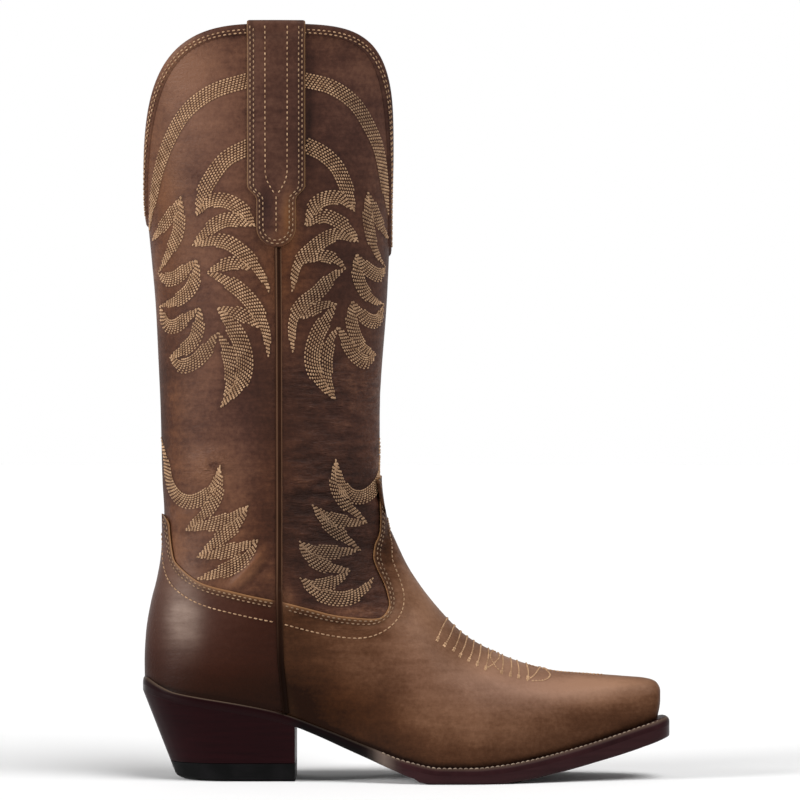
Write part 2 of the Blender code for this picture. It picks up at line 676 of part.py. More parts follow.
def build():
    clear_file()
    boot = make_collection("western_boot")
    cutters = make_collection("cutters")
    shaft_leather = make_material("shaft_leather", (0.16, 0.085, 0.05), 0.55)
    foot_leather = make_material("foot_leather", (0.19, 0.1, 0.06), 0.5)
    trim_leather = make_material("trim_leather", (0.08, 0.05, 0.035), 0.55)
    strap_leather = make_material("strap_leather", (0.13, 0.07, 0.045), 0.55)
    welt_leather = make_material("welt_leather", (0.06, 0.03, 0.03), 0.5)
    sole_leather = make_material("sole_leather", (0.045, 0.018, 0.02), 0.4)
    insole_leather = make_material("insole_leather", (0.35, 0.22, 0.13), 0.7)
    heel_leather = make_material("heel_leather", (0.035, 0.012, 0.014), 0.35)
    cap_rubber = make_material("cap_rubber", (0.012, 0.012, 0.012), 0.6)
    make_upper(boot, shaft_leather)
    make_vamp(boot, cutters, foot_leather)
    make_counter(boot, cutters, foot_leather)
    make_collar_band(boot, trim_leather)
    for word, side in (("outer", -1), ("inner", 1)):
        make_pull_strap("pull_strap_" + word, side, boot, strap_leather)
        make_side_seam("side_seam_" + word, side, boot, trim_leather)
    make_insole(boot, insole_leather)
    make_welt(boot, welt_leather)
    make_outsole(boot, sole_leather)
    make_heel(boot, heel_leather)
    make_heel_cap(boot, cap_rubber)


build()
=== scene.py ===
"""Looks of the western boot: leather, lining, stitching, welt, sole and heel, built over the fixed frame.

Lengths are in millimetres until a mesh is made. The toe points along +X and the outer side is -Y.
A place on the upper has a station, which counts the rows of SECTIONS from the toe to the collar, and an
around, which is 0 on the ridge and the front line, -1 or 1 at the base, and below zero on the outer side.
"""

import math

import bmesh
import bpy
import numpy as np
from mathutils.kdtree import KDTree
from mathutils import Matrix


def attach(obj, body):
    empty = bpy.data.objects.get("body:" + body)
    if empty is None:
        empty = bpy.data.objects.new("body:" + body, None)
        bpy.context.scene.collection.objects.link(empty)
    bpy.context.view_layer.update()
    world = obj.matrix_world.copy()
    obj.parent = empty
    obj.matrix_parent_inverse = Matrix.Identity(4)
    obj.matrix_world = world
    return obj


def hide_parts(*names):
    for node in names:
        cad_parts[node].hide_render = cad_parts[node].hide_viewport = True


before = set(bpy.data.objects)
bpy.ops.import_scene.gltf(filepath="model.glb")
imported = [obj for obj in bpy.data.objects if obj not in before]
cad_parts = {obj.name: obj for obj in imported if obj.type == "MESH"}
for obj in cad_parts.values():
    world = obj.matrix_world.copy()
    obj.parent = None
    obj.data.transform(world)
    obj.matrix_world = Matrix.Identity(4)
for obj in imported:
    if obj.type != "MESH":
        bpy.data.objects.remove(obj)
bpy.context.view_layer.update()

MM = 0.001
UP = np.array((0.0, 0.0, 1.0))

# Camera of the photograph: one pixel is this wide on the boot's middle plane
PIXEL = 0.55
PICTURE = 800
CAMERA_DISTANCE = 2500.0
CAMERA_X = -3.3
CAMERA_HEIGHT = 207.4
CAMERA_FAR = 100.0
SENSOR = 36.0
PIXEL_STEP = np.array((PIXEL, -PIXEL))

# Sizes of the boot, as in its solids apart from small changes that follow the photograph
WALL = 2.4
GAP = 0.3
SOLE_GAP = 0.45
PANEL = 1.2
PANEL_LIFT = GAP + PANEL
SIDE_SHIFT = -1.2
COLLAR_TOP = 410.6
FRONT_DIP = 292.0
BACK_DIP = 308.0
FRONT_CURVE = 3.9
BACK_CURVE = 2.85
BINDING_WIDTH = 5.4
BINDING = 0.9
BINDING_SHADE = 0.1
STRAP_MIDDLE = -70.3
STRAP_WIDTH = 31.0
STRAP_TAIL_WIDTH = 21.0
STRAP_TIP = 290.2
STRAP_TAIL_TOP = 316.0
STRAP_SHOULDER = 323.0
STRAP_INSIDE_END = 345.0
STRAP = 1.6
STRAP_RISE = 3.0
STRAP_FOLD = 0.4
STRAP_ROUND = 0.4
STRAP_ROUND_START = 0.93
STRAP_WEAR_START = 0.94
STRAP_INSIDE_LIFT = -WALL - 0.85
SEAM_TOP = 289.8
SEAM_WIDTH = 3.8
SEAM_HEIGHT = 1.6
SEAM_CUT = 0.4
SEAM_JOIN = 98.3
SEAM_STEP_TOP = 107.0
SEAM_STEP_FOOT = 102.5
SEAM_FINE = 111.0
WELT_INSIDE = 3.2
INSOLE_INSIDE = 3.6
INSOLE_RISE = 2.6
INSOLE_DISH = 0.5
SOLE_BEVEL = 1.6
SOLE_BEVEL_RUN = 4.0
SOLE_BEVEL_LEAST = 0.05
SOLE_BEVEL_ROUND = 0.3
SOLE_BULGE = 0.1
WELT_ROUND = 0.72
WELT_LIP = 2.2
WELT_LIP_START = -126.0
WELT_LIP_RUN = 18.0
CLOSE = 0.02
HALF_SOLE_START = 5.3
HALF_SOLE_STEP = 1.2
HALF_SOLE_RUN = 0.2
FLAT_START = 12.0
FLAT_END = 48.0
HEEL_BREAST = -60.4
HEEL_NEXT = 0.05
HEEL_CAP_TOP = 9.6
HEEL_LENGTH_TAPER = 0.775
HEEL_WIDTH_TAPER = 0.84
HEEL_CAP_ROUND = 2.6
HEEL_CAP_TUCK = 3.2
HEEL_CAP_SIDE_TUCK = 1.9
HEEL_CAP_TURN = 30.0
HEEL_SHARP = 42

# Dyes along the sole's edge, painted shade along the waist, and a painted highlight with wear where the half
# sole
# starts: where each starts or ends, and over what run
HEEL_DYE_END = HEEL_BREAST - 2.0
HEEL_DYE_RUN = 10.0
WAIST_START = HEEL_BREAST - 4.0
WAIST_START_RUN = 8.0
WAIST_END = -14.0
WAIST_END_RUN = 12.0
# painted highlight with wear where the half sole starts: where, and how far it reaches
HALF_SOLE_WEAR_AND_HIGHLIGHT = -12.0
HALF_SOLE_WEAR_AND_HIGHLIGHT_REACH = 5.0

# The painted highlight on the side seam's piping fades near the foot, where the piping is darker: how much,
# from where and over what run
SEAM_DULL = 0.75
SEAM_DULL_START = SEAM_STEP_TOP + 14.0
SEAM_DULL_RUN = 30.0
SEAM_LOW_RUN = 50.0

# A panel's cut edge: the way over which it is rounded, how far it drops, the way over which it is worn, the
# share of wear beside the seam and how far that reaches, and the rows nearest to the edge in shares
EDGE_ROUND = 0.9
EDGE_DROP = 0.55
EDGE_WEAR = 0.5
SEAM_WEAR = 0.1
SEAM_WEAR_REACH = 4.0
EDGE_STEPS = np.array((0.0, 0.08, 0.2, 0.35, 0.55, 0.8))

# Thread: half a stitch's height and width, and the lengths, pitches and rows of the stitches
THREAD = 0.4
STITCH = 1.75
STITCH_PITCH = 2.9
STITCH_LIFT = 0.1
# how far the painted shade beside stitched rows reaches
STITCH_BAND = 1.6
FLAME_THREAD = 0.5
FLAME_STITCH = 1.5
FLAME_PITCH = 2.0
FLAME_SLANT = 0.5
FLAME_APART = 0.55
ROW_GAP = 1.22
FLAME_DRAW = 0.4
FLAME_TIP = 0.03
EDGE_ROWS = (1.7, 3.5)
EDGE_DULL = 0.55
ROW_DULL = 0.15
COLLAR_ROWS = (2.9, 4.6)
COLLAR_STITCH_LIFT = 0.15
COLLAR_LINE_END = 0.9995
COLLAR_LINE_POINTS = 900
STRAP_LINE_POINTS = 60
STRAP_TURN_POINTS = 20
STRAP_SPACING = 1.5
FAR_ROW = 11.5
FAR_STITCH = 2.15
TOE_STITCH = 1.6
TOE_PITCH = 2.0
TOE_KNOT = 0.45
TOE_KNOT_POINTS = 4
TOE_RIDGE_AROUND = -0.04
TOE_RIDGE_LIFT = 0.05
TOE_THREAD = 0.5
WELT_STITCH = 2.2
WELT_PITCH = 2.9
WELT_ROW = 0.72
WELT_ROW_END = 13.6
WELT_ROW_POINTS = 400
WELT_STITCH_LIFT = 0.05

# A row along a panel's edge: points left out at the corner, points that give its way there, how far it runs
# on past the seam, rounds of easing with more for each millimetre inside, and how far off it ends
ROW_SKIP = 2
ROW_RUN = 6
ROW_PAST_SEAM = np.linspace(2.0, 0.2, 10)
ROW_EASE = 20
ROW_EASE_INSIDE = 10
ROW_FROM_SEAM = 0.4
ROW_FROM_MIDDLE = 1.5

# Fineness of curves and meshes, and of the search for places on the upper
CURVE_STEPS = 24
READ_STEPS = 200
FINE_SPACING = 0.8
CREASE_SPACING = 4.0
CROWDING = 0.5
INSTEP_ROW = 12.0
SOLE_LINE_END = 3.0
SOLE_LINE_STEPS = 300
SOLE_LINE_TAIL = 30
BINDING_STEP = 0.004
VAMP_SPAN = 150.0
COUNTER_SPAN = 110.0
OUTSIDE_GRID = {"foot_rows": 24, "leg_rows": 190, "collar_rows": 110, "columns": 200}
LINING_GRID = {"foot_rows": 20, "leg_rows": 40, "collar_rows": 12, "columns": 200}
VAMP_ROWS = 84
VAMP_FINE = 0.93
VAMP_FINE_NEXT = 0.9378
VAMP_FINE_ROWS = 14
VAMP_RIM = 0.995
COUNTER_RIM = 0.02
COUNTER_ROWS = 54
COUNTER_EASE_EDGE = 0.2
COUNTER_EASE_BASE = 0.12
EASE_ROUNDS = 60
BINDING_COLUMNS = 320
SEAM_POINTS = 8
SEAM_SPACING = 1.2
SEAM_ROWS = 120
SEAM_FINE_ROWS = 70
STRAP_TIP_ROWS = 10
STRAP_LEG_ROWS = 64
STRAP_FOLD_ROWS = 9
STRAP_INNER_ROWS = 20
STRAP_COLUMNS = 41
STRAP_CROWDING = 0.12
FEATHER_STEP = 0.05
BASE_STEPS = 800
INSOLE_COLUMNS = 13
HEEL_ROWS = 12
HEEL_CAP_ROWS = 7
MERGE = 0.01
SLIVER = 0.002
SEARCH_STATION_STEP = 0.25
SEARCH_AROUND = -0.98
SEARCH_AROUND_STEP = 0.02
FIND_ROUNDS = 14
FIND_DAMPING = 0.02
FIND_NUDGES = np.array(((0.01, 0.0), (0.0, -0.001)))
FIND_STEP = np.array((0.6, 0.06))
FIND_LAST_AROUND = -0.0005
NORMAL_STATION_STEP = 0.02
NORMAL_AROUND_STEP = 0.01
FIRST_NORMAL = 0.5
LAST_NORMAL = 0.985
BACK_LINE = 0.999
NEARLY = 1e-6
TINY = 1e-9

# Leathers of the upper: colours, roughness, shine and how blotched they are
LEATHER_COLUMNS = ("dark", "middle", "light", "worn", "roughness", "shine", "blotched")
LEATHERS = {
    "shaft": ("#26130c", "#4e3022", "#765039", "#7d5636", 0.5, 0.13, 0.17),
    "foot": ("#1c0d06", "#5f402d", "#957058", "#a67a50", 0.46, 0.06, 0.07),
    "counter": ("#1b0b05", "#44291f", "#6e5244", "#a67a50", 0.4, 0.07, 0.02),
    "strap": ("#27150e", "#4c3024", "#6c4c3a", "#86643f", 0.5, 0.13, 0.17),
}

# Leathers under the foot: colours, roughness, shine and how fine the layers of their edges are
EDGE_COLUMNS = ("dark", "light", "roughness", "shine", "layers")
EDGE_LEATHERS = {
    "insole": ("#a07d58", "#b8946a", 0.75, 0.3, 1.0),
    "sole": ("#261315", "#331c1e", 0.36, 0.07, 6.0),
    "heel": ("#160507", "#21080b", 0.4, 0.05, 8.0),
}

# Threads: dark, light and dimmed colour, the last for painted shade and duller rows
TAN_THREAD = ("#8f6a49", "#caa37d", "#4d3828")
SOLE_THREAD = ("#6d5a4c", "#a08b78", "#5f4632")

# Other colours, and the tints that warm or cool a leather
PIPING_DARK = "#241309"
PIPING_LIGHT = "#341d13"
# colour of the painted highlights on the piping's crests
PIPING_HIGHLIGHT = "#7a5a45"
PIPING_LOW = "#150803"
# colour of the counter's painted highlight
COUNTER_HIGHLIGHT_COLOUR = "#b09a8c"
HEEL_DYE = "#190608"
# painted shade along the waist, with dark dye
WAIST_SHADE_AND_DYE = "#050303"
# colour of the painted highlight with wear where the half sole starts
WEAR_AND_HIGHLIGHT_COLOUR = "#85746a"
WELT_DARK = "#221012"
WELT_LIGHT = "#30191b"
# colour of the painted highlight on the welt's rounded edge
WELT_HIGHLIGHT_COLOUR = "#84715f"
LINING_COLOURS = ("#a5815c", "#b8956c")
RUBBER_COLOURS = ("#080808", "#131213")
FLOOR_COLOURS = ("#f6f6f6", "#f9f9f9")
TANNED = (1.08, 0.88, 0.5, 1.0)
PLUM = (0.92, 1.0, 1.3, 1.0)

# Stage: half the floor's width in metres and how far it lies below the boot, then each light's name, the
# direction towards it, its strength and its softness in degrees
FLOOR_REACH = 12.0
FLOOR_DROP = 0.2
LIGHTS = (
    ("key", (-0.9, -0.42, 0.38), 2.3, 24.0),
    ("top", (0.4, -0.4, 0.9), 2.4, 40.0),
)

# Sections of the upper, from the toe over the foot and up the shaft. Each runs from a base point on the
# sole or the back line to a top point on the ridge or the front line.
SECTION_COLUMNS = (
    "top_x", "top_z", "base_x", "base_z", "edge_out", "edge_in", "wide_out", "wide_in", "wide_at",
    "full", "tuck",
)
FOOT_SECTIONS = (
    (136.2, 31.7, 136.2, 31.7, 0.0, 0.0, 0.0, 0.0, 0.35, 2.3, 1.0),
    (137.3, 37.0, 136.1, 31.7, 3.3, 4.4, 3.3, 4.4, 0.35, 2.3, 1.0),
    (138.2, 42.6, 135.7, 31.5, 6.4, 8.6, 6.4, 8.7, 0.35, 2.3, 1.0),
    (138.2, 47.6, 134.6, 31.2, 8.8, 11.8, 9.0, 12.0, 0.35, 2.3, 1.0),
    (136.5, 51.4, 132.3, 30.5, 10.3, 14.0, 10.8, 14.5, 0.35, 2.3, 1.0),
    (131.0, 53.3, 127.5, 29.0, 11.8, 16.0, 12.6, 16.8, 0.35, 2.3, 1.0),
    (118.0, 54.4, 117.0, 25.6, 15.3, 20.2, 16.5, 21.4, 0.35, 2.2, 1.0),
    (101.0, 55.7, 101.0, 20.7, 20.8, 26.3, 22.4, 27.8, 0.34, 2.1, 1.0),
    (83.0, 57.1, 84.0, 16.2, 27.4, 32.4, 29.2, 34.2, 0.33, 2.0, 1.0),
    (65.0, 61.3, 67.0, 12.4, 33.8, 37.8, 35.8, 39.8, 0.32, 1.95, 1.0),
    (48.0, 67.8, 51.0, 9.9, 39.2, 40.6, 41.2, 42.4, 0.31, 1.9, 1.0),
    (32.0, 76.8, 36.0, 8.7, 42.4, 39.6, 44.0, 41.6, 0.31, 1.85, 1.0),
    (18.0, 90.5, 19.0, 8.8, 43.0, 35.0, 44.2, 38.6, 0.32, 1.8, 1.0),
    (7.0, 104.3, 0.0, 12.3, 39.8, 27.6, 41.6, 36.2, 0.34, 1.8, 1.0),
    (-0.5, 115.8, -22.0, 20.4, 34.0, 21.0, 38.6, 34.6, 0.37, 1.8, 1.0),
    (-5.6, 126.3, -45.0, 29.4, 29.8, 20.6, 36.2, 33.8, 0.4, 1.85, 1.0),
    (-9.2, 134.8, -70.0, 38.2, 28.6, 25.2, 34.8, 33.5, 0.43, 1.9, 1.0),
    (-11.7, 142.5, -92.0, 42.7, 29.0, 28.2, 34.2, 33.6, 0.45, 1.95, 1.0),
    (-13.2, 150.0, -112.0, 45.9, 28.3, 28.3, 34.0, 33.8, 0.47, 2.0, 0.95),
    (-14.2, 157.0, -127.0, 48.6, 23.6, 23.6, 34.0, 34.0, 0.48, 2.0, 0.85),
    (-14.7, 164.0, -136.5, 51.4, 15.6, 15.6, 34.0, 34.0, 0.49, 2.0, 0.72),
    (-14.7, 171.0, -140.8, 53.2, 7.6, 7.6, 34.0, 34.0, 0.5, 2.0, 0.6),
)

# On the shaft both sides are alike and the base is the back line: top_x, top_z, base_x, base_z and half the
# width, and for all of its ovals wide_at, full and tuck
SHAFT_SECTIONS = (
    (-14.5, 178.0, -142.0, 53.9, 34.0),
    (-14.4, 184.0, -142.2, 65.0, 34.0),
    (-14.4, 189.0, -141.4, 80.0, 34.2),
    (-14.4, 194.0, -138.6, 97.0, 34.4),
    (-14.4, 199.0, -134.5, 113.0, 34.8),
    (-14.3, 204.5, -132.7, 129.0, 35.3),
    (-14.2, 210.0, -132.9, 146.0, 36.0),
    (-13.8, 217.0, -133.9, 164.0, 36.8),
    (-13.3, 225.0, -134.4, 183.0, 37.6),
    (-12.6, 234.0, -134.9, 203.0, 38.6),
    (-11.6, 246.0, -136.0, 228.0, 39.8),
    (-10.6, 260.0, -137.6, 260.0, 41.0),
    (-9.4, 285.0, -139.8, 285.0, 42.4),
    (-8.6, 310.0, -142.2, 310.0, 43.0),
    (-6.0, 345.0, -144.4, 345.0, 43.0),
    (-2.0, 380.0, -146.6, 380.0, 42.6),
    (1.5, 414.0, -148.4, 414.0, 42.0),
)
SHAFT_OVAL = (0.5, 2.0, 0.5)
SECTIONS = FOOT_SECTIONS + tuple((*line, 0.0, 0.0, wide, wide, *SHAFT_OVAL) for *line, wide in SHAFT_SECTIONS)
HEEL_BACK_ROW = len(FOOT_SECTIONS)
LEVEL_ROW = 33
LAST_ROW = len(SECTIONS) - 1
TONGUE_SECTIONS = (16.0, 24.0)
COUNTER_SECTIONS = (24.0, 31.0)

# Along the sole: place, how far the welt stands out, how thick it is, and the underside's height
SOLE_COLUMNS = ("x", "margin", "welt", "under")
SOLE_ROWS = (
    (-146.0, 2.6, 1.7, 48.6),
    (-134.0, 2.6, 1.7, 45.2),
    (-125.0, 2.6, 1.7, 42.6),
    (-106.0, 2.6, 1.7, 39.4),
    (-81.0, 2.6, 1.8, 35.2),
    (-60.0, 2.6, 2.0, 29.9),
    (-46.7, 2.7, 2.2, 24.4),
    (-33.7, 2.9, 2.5, 18.6),
    (-20.6, 3.4, 2.8, 13.0),
    (-7.6, 4.2, 3.1, 7.4),
    (5.3, 4.9, 3.3, 2.6),
    (12.0, 5.1, 3.4, 1.2),
    (48.0, 5.5, 3.5, 0.0),
    (57.0, 5.7, 3.6, 1.7),
    (64.0, 5.8, 3.6, 2.7),
    (77.0, 6.0, 3.7, 5.2),
    (90.0, 6.3, 3.8, 8.0),
    (103.0, 6.7, 3.8, 11.4),
    (117.0, 7.4, 3.8, 15.2),
    (130.0, 8.2, 3.8, 19.4),
    (146.0, 9.0, 3.8, 25.2),
)

# Stations along the sole: first, last and step
SOLE_RUNS = ((0.0, 6.0, 0.1), (6.0, 18.0, 0.15), (18.0, 22.001, 0.08))

# The welt's rounded edge in degrees, and its painted highlight round each ring and along the sole, x and
# share
WELT_TURNS = (0.0, 25.0, 50.0, 70.0, 90.0)
WELT_RING_HIGHLIGHT = (0.2, 1.0, 0.35, 0.0, 0.0, 0.0, 0.0, 0.1)
WELT_HIGHLIGHT = (
    (-146.0, 0.2), (-130.0, 0.5), (-105.0, 0.55), (-80.0, 0.35), (-55.0, 0.12), (-10.0, 0.2), (146.0, 0.35),
)

# Side view lines of the panels, x and z
SEAM_LINE = ((-69.3, 289.0), (-69.0, 250.0), (-69.0, 150.0), (-69.0, 105.0), (-68.0, 66.0), (-65.0, 36.0))
VAMP_EDGE = (
    (-51.4, 93.8), (-39.5, 90.8), (-26.6, 89.1), (-16.3, 88.6), (-12.0, 90.6), (-9.6, 95.5),
    (-10.4, 101.0), (-12.5, 107.6), (-16.4, 115.9), (-18.2, 121.4), (-17.5, 128.4), (-15.4, 133.7),
    (-14.9, 142.3), (-15.3, 153.7), (-16.2, 160.0), (-17.2, 164.0),
)
TONGUE_TOP = 166.0
COUNTER_EDGE = (
    (-83.1, 101.0), (-94.2, 103.6), (-102.4, 105.4), (-110.9, 108.0), (-116.7, 111.4), (-122.4, 116.1),
    (-125.8, 120.3), (-127.4, 127.8), (-129.0, 139.4), (-131.0, 143.4),
)
COUNTER_TIP = 145.0

# Profile of the side seam's piping from back to front: way across in shares of its width, and height in
# shares of its height. Its painted highlights on the crests: way across, reach and how bright.
SEAM_PROFILE = (
    (-0.5, -0.1), (-0.47, 0.3), (-0.42, 0.6), (-0.35, 0.85), (-0.25, 1.0), (-0.15, 0.85), (-0.07, 0.55),
    (0.02, 0.35), (0.2, 0.45), (0.32, 0.45), (0.42, 0.35), (0.48, 0.15), (0.5, -0.1), (0.0, -0.15),
)
SEAM_HIGHLIGHTS = ((-0.25, 0.09, 0.65), (0.45, 0.07, 0.8))

# Stitch rows on the middle of the strap: way out and height of the paired ones, and heights of the last
STRAP_ROW = ((5.9, 360.0), (5.8, 330.0), (5.0, 326.0), (2.6, 321.5), (0.6, 318.5))
STRAP_TAIL_ROW = (318.0, 306.0, 297.5)

# Flame stitching as it shows in the photograph: band width in millimetres, the shares of its length over
# which its first and last ends draw to a point, then the flame's line in pixels
FLAMES = (
    # back half of the shaft
    (7.3, 0.0, 0.2, (249, 80), (214, 91), (188, 110), (171, 137), (159, 170), (152, 207), (149.5, 231)),
    (7.9, 0.0, 0.35, (250, 146), (226, 159), (210.5, 179), (201, 198), (196.5, 216)),
    (7.2, 0.4, 0.3, (196.5, 216), (206, 204), (222, 200), (240, 208), (255, 225)),
    (7.0, 0.45, 0.3, (192, 246), (204, 234), (218, 223), (233, 219.5), (255, 226)),
    (7.2, 0.35, 0.5, (192, 246), (212, 241), (229, 243), (250, 259.5), (266, 283), (269, 293)),
    (6.3, 0.5, 0.4, (207, 273), (221, 266), (236, 263), (252, 270)),
    (7.4, 0.3, 0.55, (207, 273), (223, 279), (241, 291), (256, 309), (266, 332), (268.5, 359)),
    (6.5, 0.5, 0.4, (217.5, 308), (232, 311), (246, 317), (259, 328)),
    (8.4, 0.3, 0.4, (217.5, 308), (229, 322), (240, 340), (245, 362), (240, 384), (222, 406)),
    (7.0, 0.35, 0.5, (218.4, 332), (226, 347), (231.5, 368), (229, 390), (221, 407)),
    (6.5, 0.4, 0.4, (181.6, 196.5), (171, 215), (161, 229), (152, 241)),
    (7.0, 0.35, 0.5, (181.6, 196.5), (180, 216), (178, 233), (170, 251), (158.5, 273)),
    (7.0, 0.45, 0.25, (196.5, 259.6), (187, 269), (175, 278), (165, 279), (158.5, 273)),
    (7.0, 0.35, 0.4, (196.5, 259.6), (196, 276), (189, 291), (174, 302), (160, 306)),
    (7.0, 0.45, 0.25, (199.8, 307.7), (188, 317), (176, 326), (166, 324), (160, 306)),
    (7.0, 0.35, 0.35, (199.8, 307.7), (199, 324), (195, 339), (185, 349), (170, 357.5)),
    (7.4, 0.4, 0.25, (218.4, 332), (208, 348), (196, 361), (182, 366), (170, 357.5)),
    (7.0, 0.3, 0.35, (161.5, 437), (166.5, 465), (170, 484), (178, 497), (190, 502),
     (204, 497), (214, 486), (220, 466)),
    (7.0, 0.4, 0.5, (220, 466), (217.5, 491), (208, 510), (185.5, 530)),
    (7.2, 0.5, 0.5, (185.5, 530.5), (202, 526), (220, 522.5), (236, 515), (248.5, 505)),
    (7.0, 0.5, 0.5, (248.5, 505), (237, 524), (220, 538), (197.5, 557)),
    (7.0, 0.5, 0.5, (197.5, 557.5), (215, 554.5), (238, 548), (258, 540)),
    (7.4, 0.45, 0.5, (258, 540.5), (246, 558), (226, 570), (196, 580)),
    # front half of the shaft
    (7.3, 0.0, 0.2, (304, 80), (331, 87), (354, 103), (370, 128), (379.5, 152), (385, 187), (388.5, 217)),
    (7.7, 0.0, 0.35, (305, 145), (322, 153), (336, 166), (345, 184), (355, 212)),
    (7.0, 0.4, 0.3, (355, 212), (343, 200), (330, 197.5), (316, 204), (305, 224)),
    (6.7, 0.45, 0.3, (359, 242.5), (349, 229), (337, 220.5), (322, 216), (305, 226)),
    (7.0, 0.35, 0.5, (359, 242.5), (344, 236), (331, 236), (313, 248), (297.5, 265), (291.5, 294)),
    (6.0, 0.5, 0.4, (346.3, 268.2), (334, 259), (321, 256), (309, 262)),
    (7.2, 0.3, 0.55, (346.3, 268.2), (333, 276), (318, 292), (301, 306), (292.5, 324), (292.8, 354)),
    (6.3, 0.5, 0.4, (337, 303), (324, 305), (312, 309.5), (301, 320)),
    (7.9, 0.3, 0.4, (337, 303), (327, 318), (317.5, 334), (312, 356), (317, 377), (335, 400)),
    (6.7, 0.35, 0.5, (338, 327), (330, 341), (326, 360), (328, 380), (335, 400)),
    (6.5, 0.4, 0.4, (367.4, 191.7), (374, 210), (381, 226), (389, 240)),
    (7.0, 0.35, 0.5, (367.4, 191.7), (367.5, 213), (370, 232), (375.5, 251), (385, 267)),
    (7.0, 0.45, 0.25, (356, 254), (363, 265), (373, 273), (380, 275), (385.5, 268)),
    (7.0, 0.35, 0.4, (356, 254), (357, 272), (363, 289), (373, 300), (383, 304)),
    (7.0, 0.45, 0.25, (351.6, 301), (359, 312), (369, 320.5), (378, 320), (383.5, 305)),
    (7.0, 0.35, 0.35, (351.6, 301), (351, 317), (354.5, 333), (362, 346.5), (376, 354.5)),
    (7.2, 0.4, 0.25, (338, 327), (346, 341), (355, 355.5), (366, 362), (376, 354.5)),
    (7.0, 0.3, 0.35, (379.3, 437), (379.5, 465), (378, 481), (372, 491), (362, 497),
     (350, 495), (341, 483), (335.6, 459.5)),
    (7.0, 0.4, 0.5, (335.6, 459.5), (336, 485), (346, 504), (367.6, 522.6)),
    (7.0, 0.5, 0.5, (367.6, 522.6), (351, 522.5), (333, 519.5), (321, 513), (311.7, 504.3)),
    (7.0, 0.5, 0.5, (311.7, 504.3), (324, 520), (338, 532.5), (360, 550)),
    (7.2, 0.5, 0.5, (360, 550), (342, 552), (324, 552), (311, 549), (298.8, 540.8)),
    (7.0, 0.5, 0.5, (298.8, 540.8), (308, 556), (322, 565), (336, 569), (350.7, 570)),
    (7.0, 0.5, 0.5, (350.7, 570), (336, 581), (321, 585.5), (309, 584), (298.8, 577)),
    (7.4, 0.45, 0.4, (298.8, 577), (313, 590.5), (331, 598), (349, 598), (365, 588.5), (374, 577)),
)

# Toe stitching in pixels: lines that cross the ridge, from the ridge down the side
TOE_LINES = (
    ((446, 618), (440, 630), (435.5, 642.5)),
    ((453, 624.5), (448, 638), (442.5, 648)),
    ((459.5, 630), (456, 643), (451.5, 653)),
    ((466, 636), (463, 648), (458, 659)),
    ((472.5, 641), (471, 653), (467, 663.5)),
    ((479.5, 645), (478.5, 657), (475.5, 667.5)),
    ((487, 649), (487, 660), (484, 672)),
    ((501, 656), (502, 666), (500, 676.5)),
    ((509, 659), (510.5, 668), (509, 679)),
    ((516, 663), (518, 672), (517.5, 681)),
    ((525, 665), (527.5, 674), (526.5, 682.5)),
)
TOE_LOOPS = (
    ((484, 671), (491, 667), (498, 660), (496, 654), (491, 654), (489, 659), (494, 668), (501, 675)),
    ((527, 682), (534, 677), (540, 670), (546, 673), (549.5, 678), (543, 682.5), (531, 683)),
)
TOE_RIDGE = ((527, 668), (560, 672.5), (600, 675))

# Creases in pixels: half width and height in millimetres, then the line; a trough has a height below zero
CREASES = (
    (2.3, -1.01, (283, 501), (300, 494), (324, 494)),
    (2.4, 0.81, (284, 489), (303, 484), (322, 486)),
    (2.2, -0.68, (290, 462), (312, 457), (332, 452)),
    (1.9, 0.54, (286, 447), (306, 443), (326, 445)),
    (2.2, -0.74, (318, 419), (340, 414), (362, 416)),
    (2.2, 0.54, (312, 404), (336, 428), (366, 430)),
    (2.3, -0.81, (344, 506), (362, 505), (379, 508)),
    (2.2, 0.68, (350, 532), (364, 535), (376, 530)),
    (1.9, -0.74, (316, 538), (338, 541), (356, 536)),
    (1.7, -0.68, (296, 560), (312, 574), (330, 576)),
    (1.9, -0.81, (346, 606), (360, 603), (375, 600)),
    (1.6, 0.61, (340, 588), (352, 584), (362, 576)),
    (3.0, 1.76, (264, 548), (252, 566), (232, 588)),
    (2.6, -1.22, (257, 543), (243, 562), (224, 582)),
    (2.6, -0.81, (270, 558), (260, 574), (242, 592)),
    (1.4, -0.47, (203, 470), (211, 464), (221, 462)),
    (1.4, -0.47, (205, 477), (213, 471), (220, 469)),
    (2.4, -0.81, (164, 520), (178, 532), (196, 536)),
    (2.6, 0.68, (165, 506), (180, 514), (200, 514)),
    (4.3, -0.94, (392, 520), (384, 548), (384, 566)),
    (4.7, -0.81, (420, 590), (408, 606), (404, 626)),
    (6.5, -0.68, (545, 706), (590, 716), (640, 700)),
    (5.8, 0.61, (470, 672), (520, 692), (580, 698)),
)

# A crease reaches this many half widths, and fades over a share of its length to a share of its height
CREASE_REACH = 3.0
CREASE_FADE = 0.35
CREASE_END = 0.15
# How much painted highlight a crease's ridge gets and painted shade its trough gets, per millimetre of height
CREASE_SHADE = 0.16

# Finely wrinkled places in pixels: middle, reach along and up, and how much
CRINKLES = ((335, 510, 52, 100, 1.0), (212, 466, 18, 12, 1.0), (330, 385, 50, 24, 0.8))
EVEN_CRINKLE = 0.05
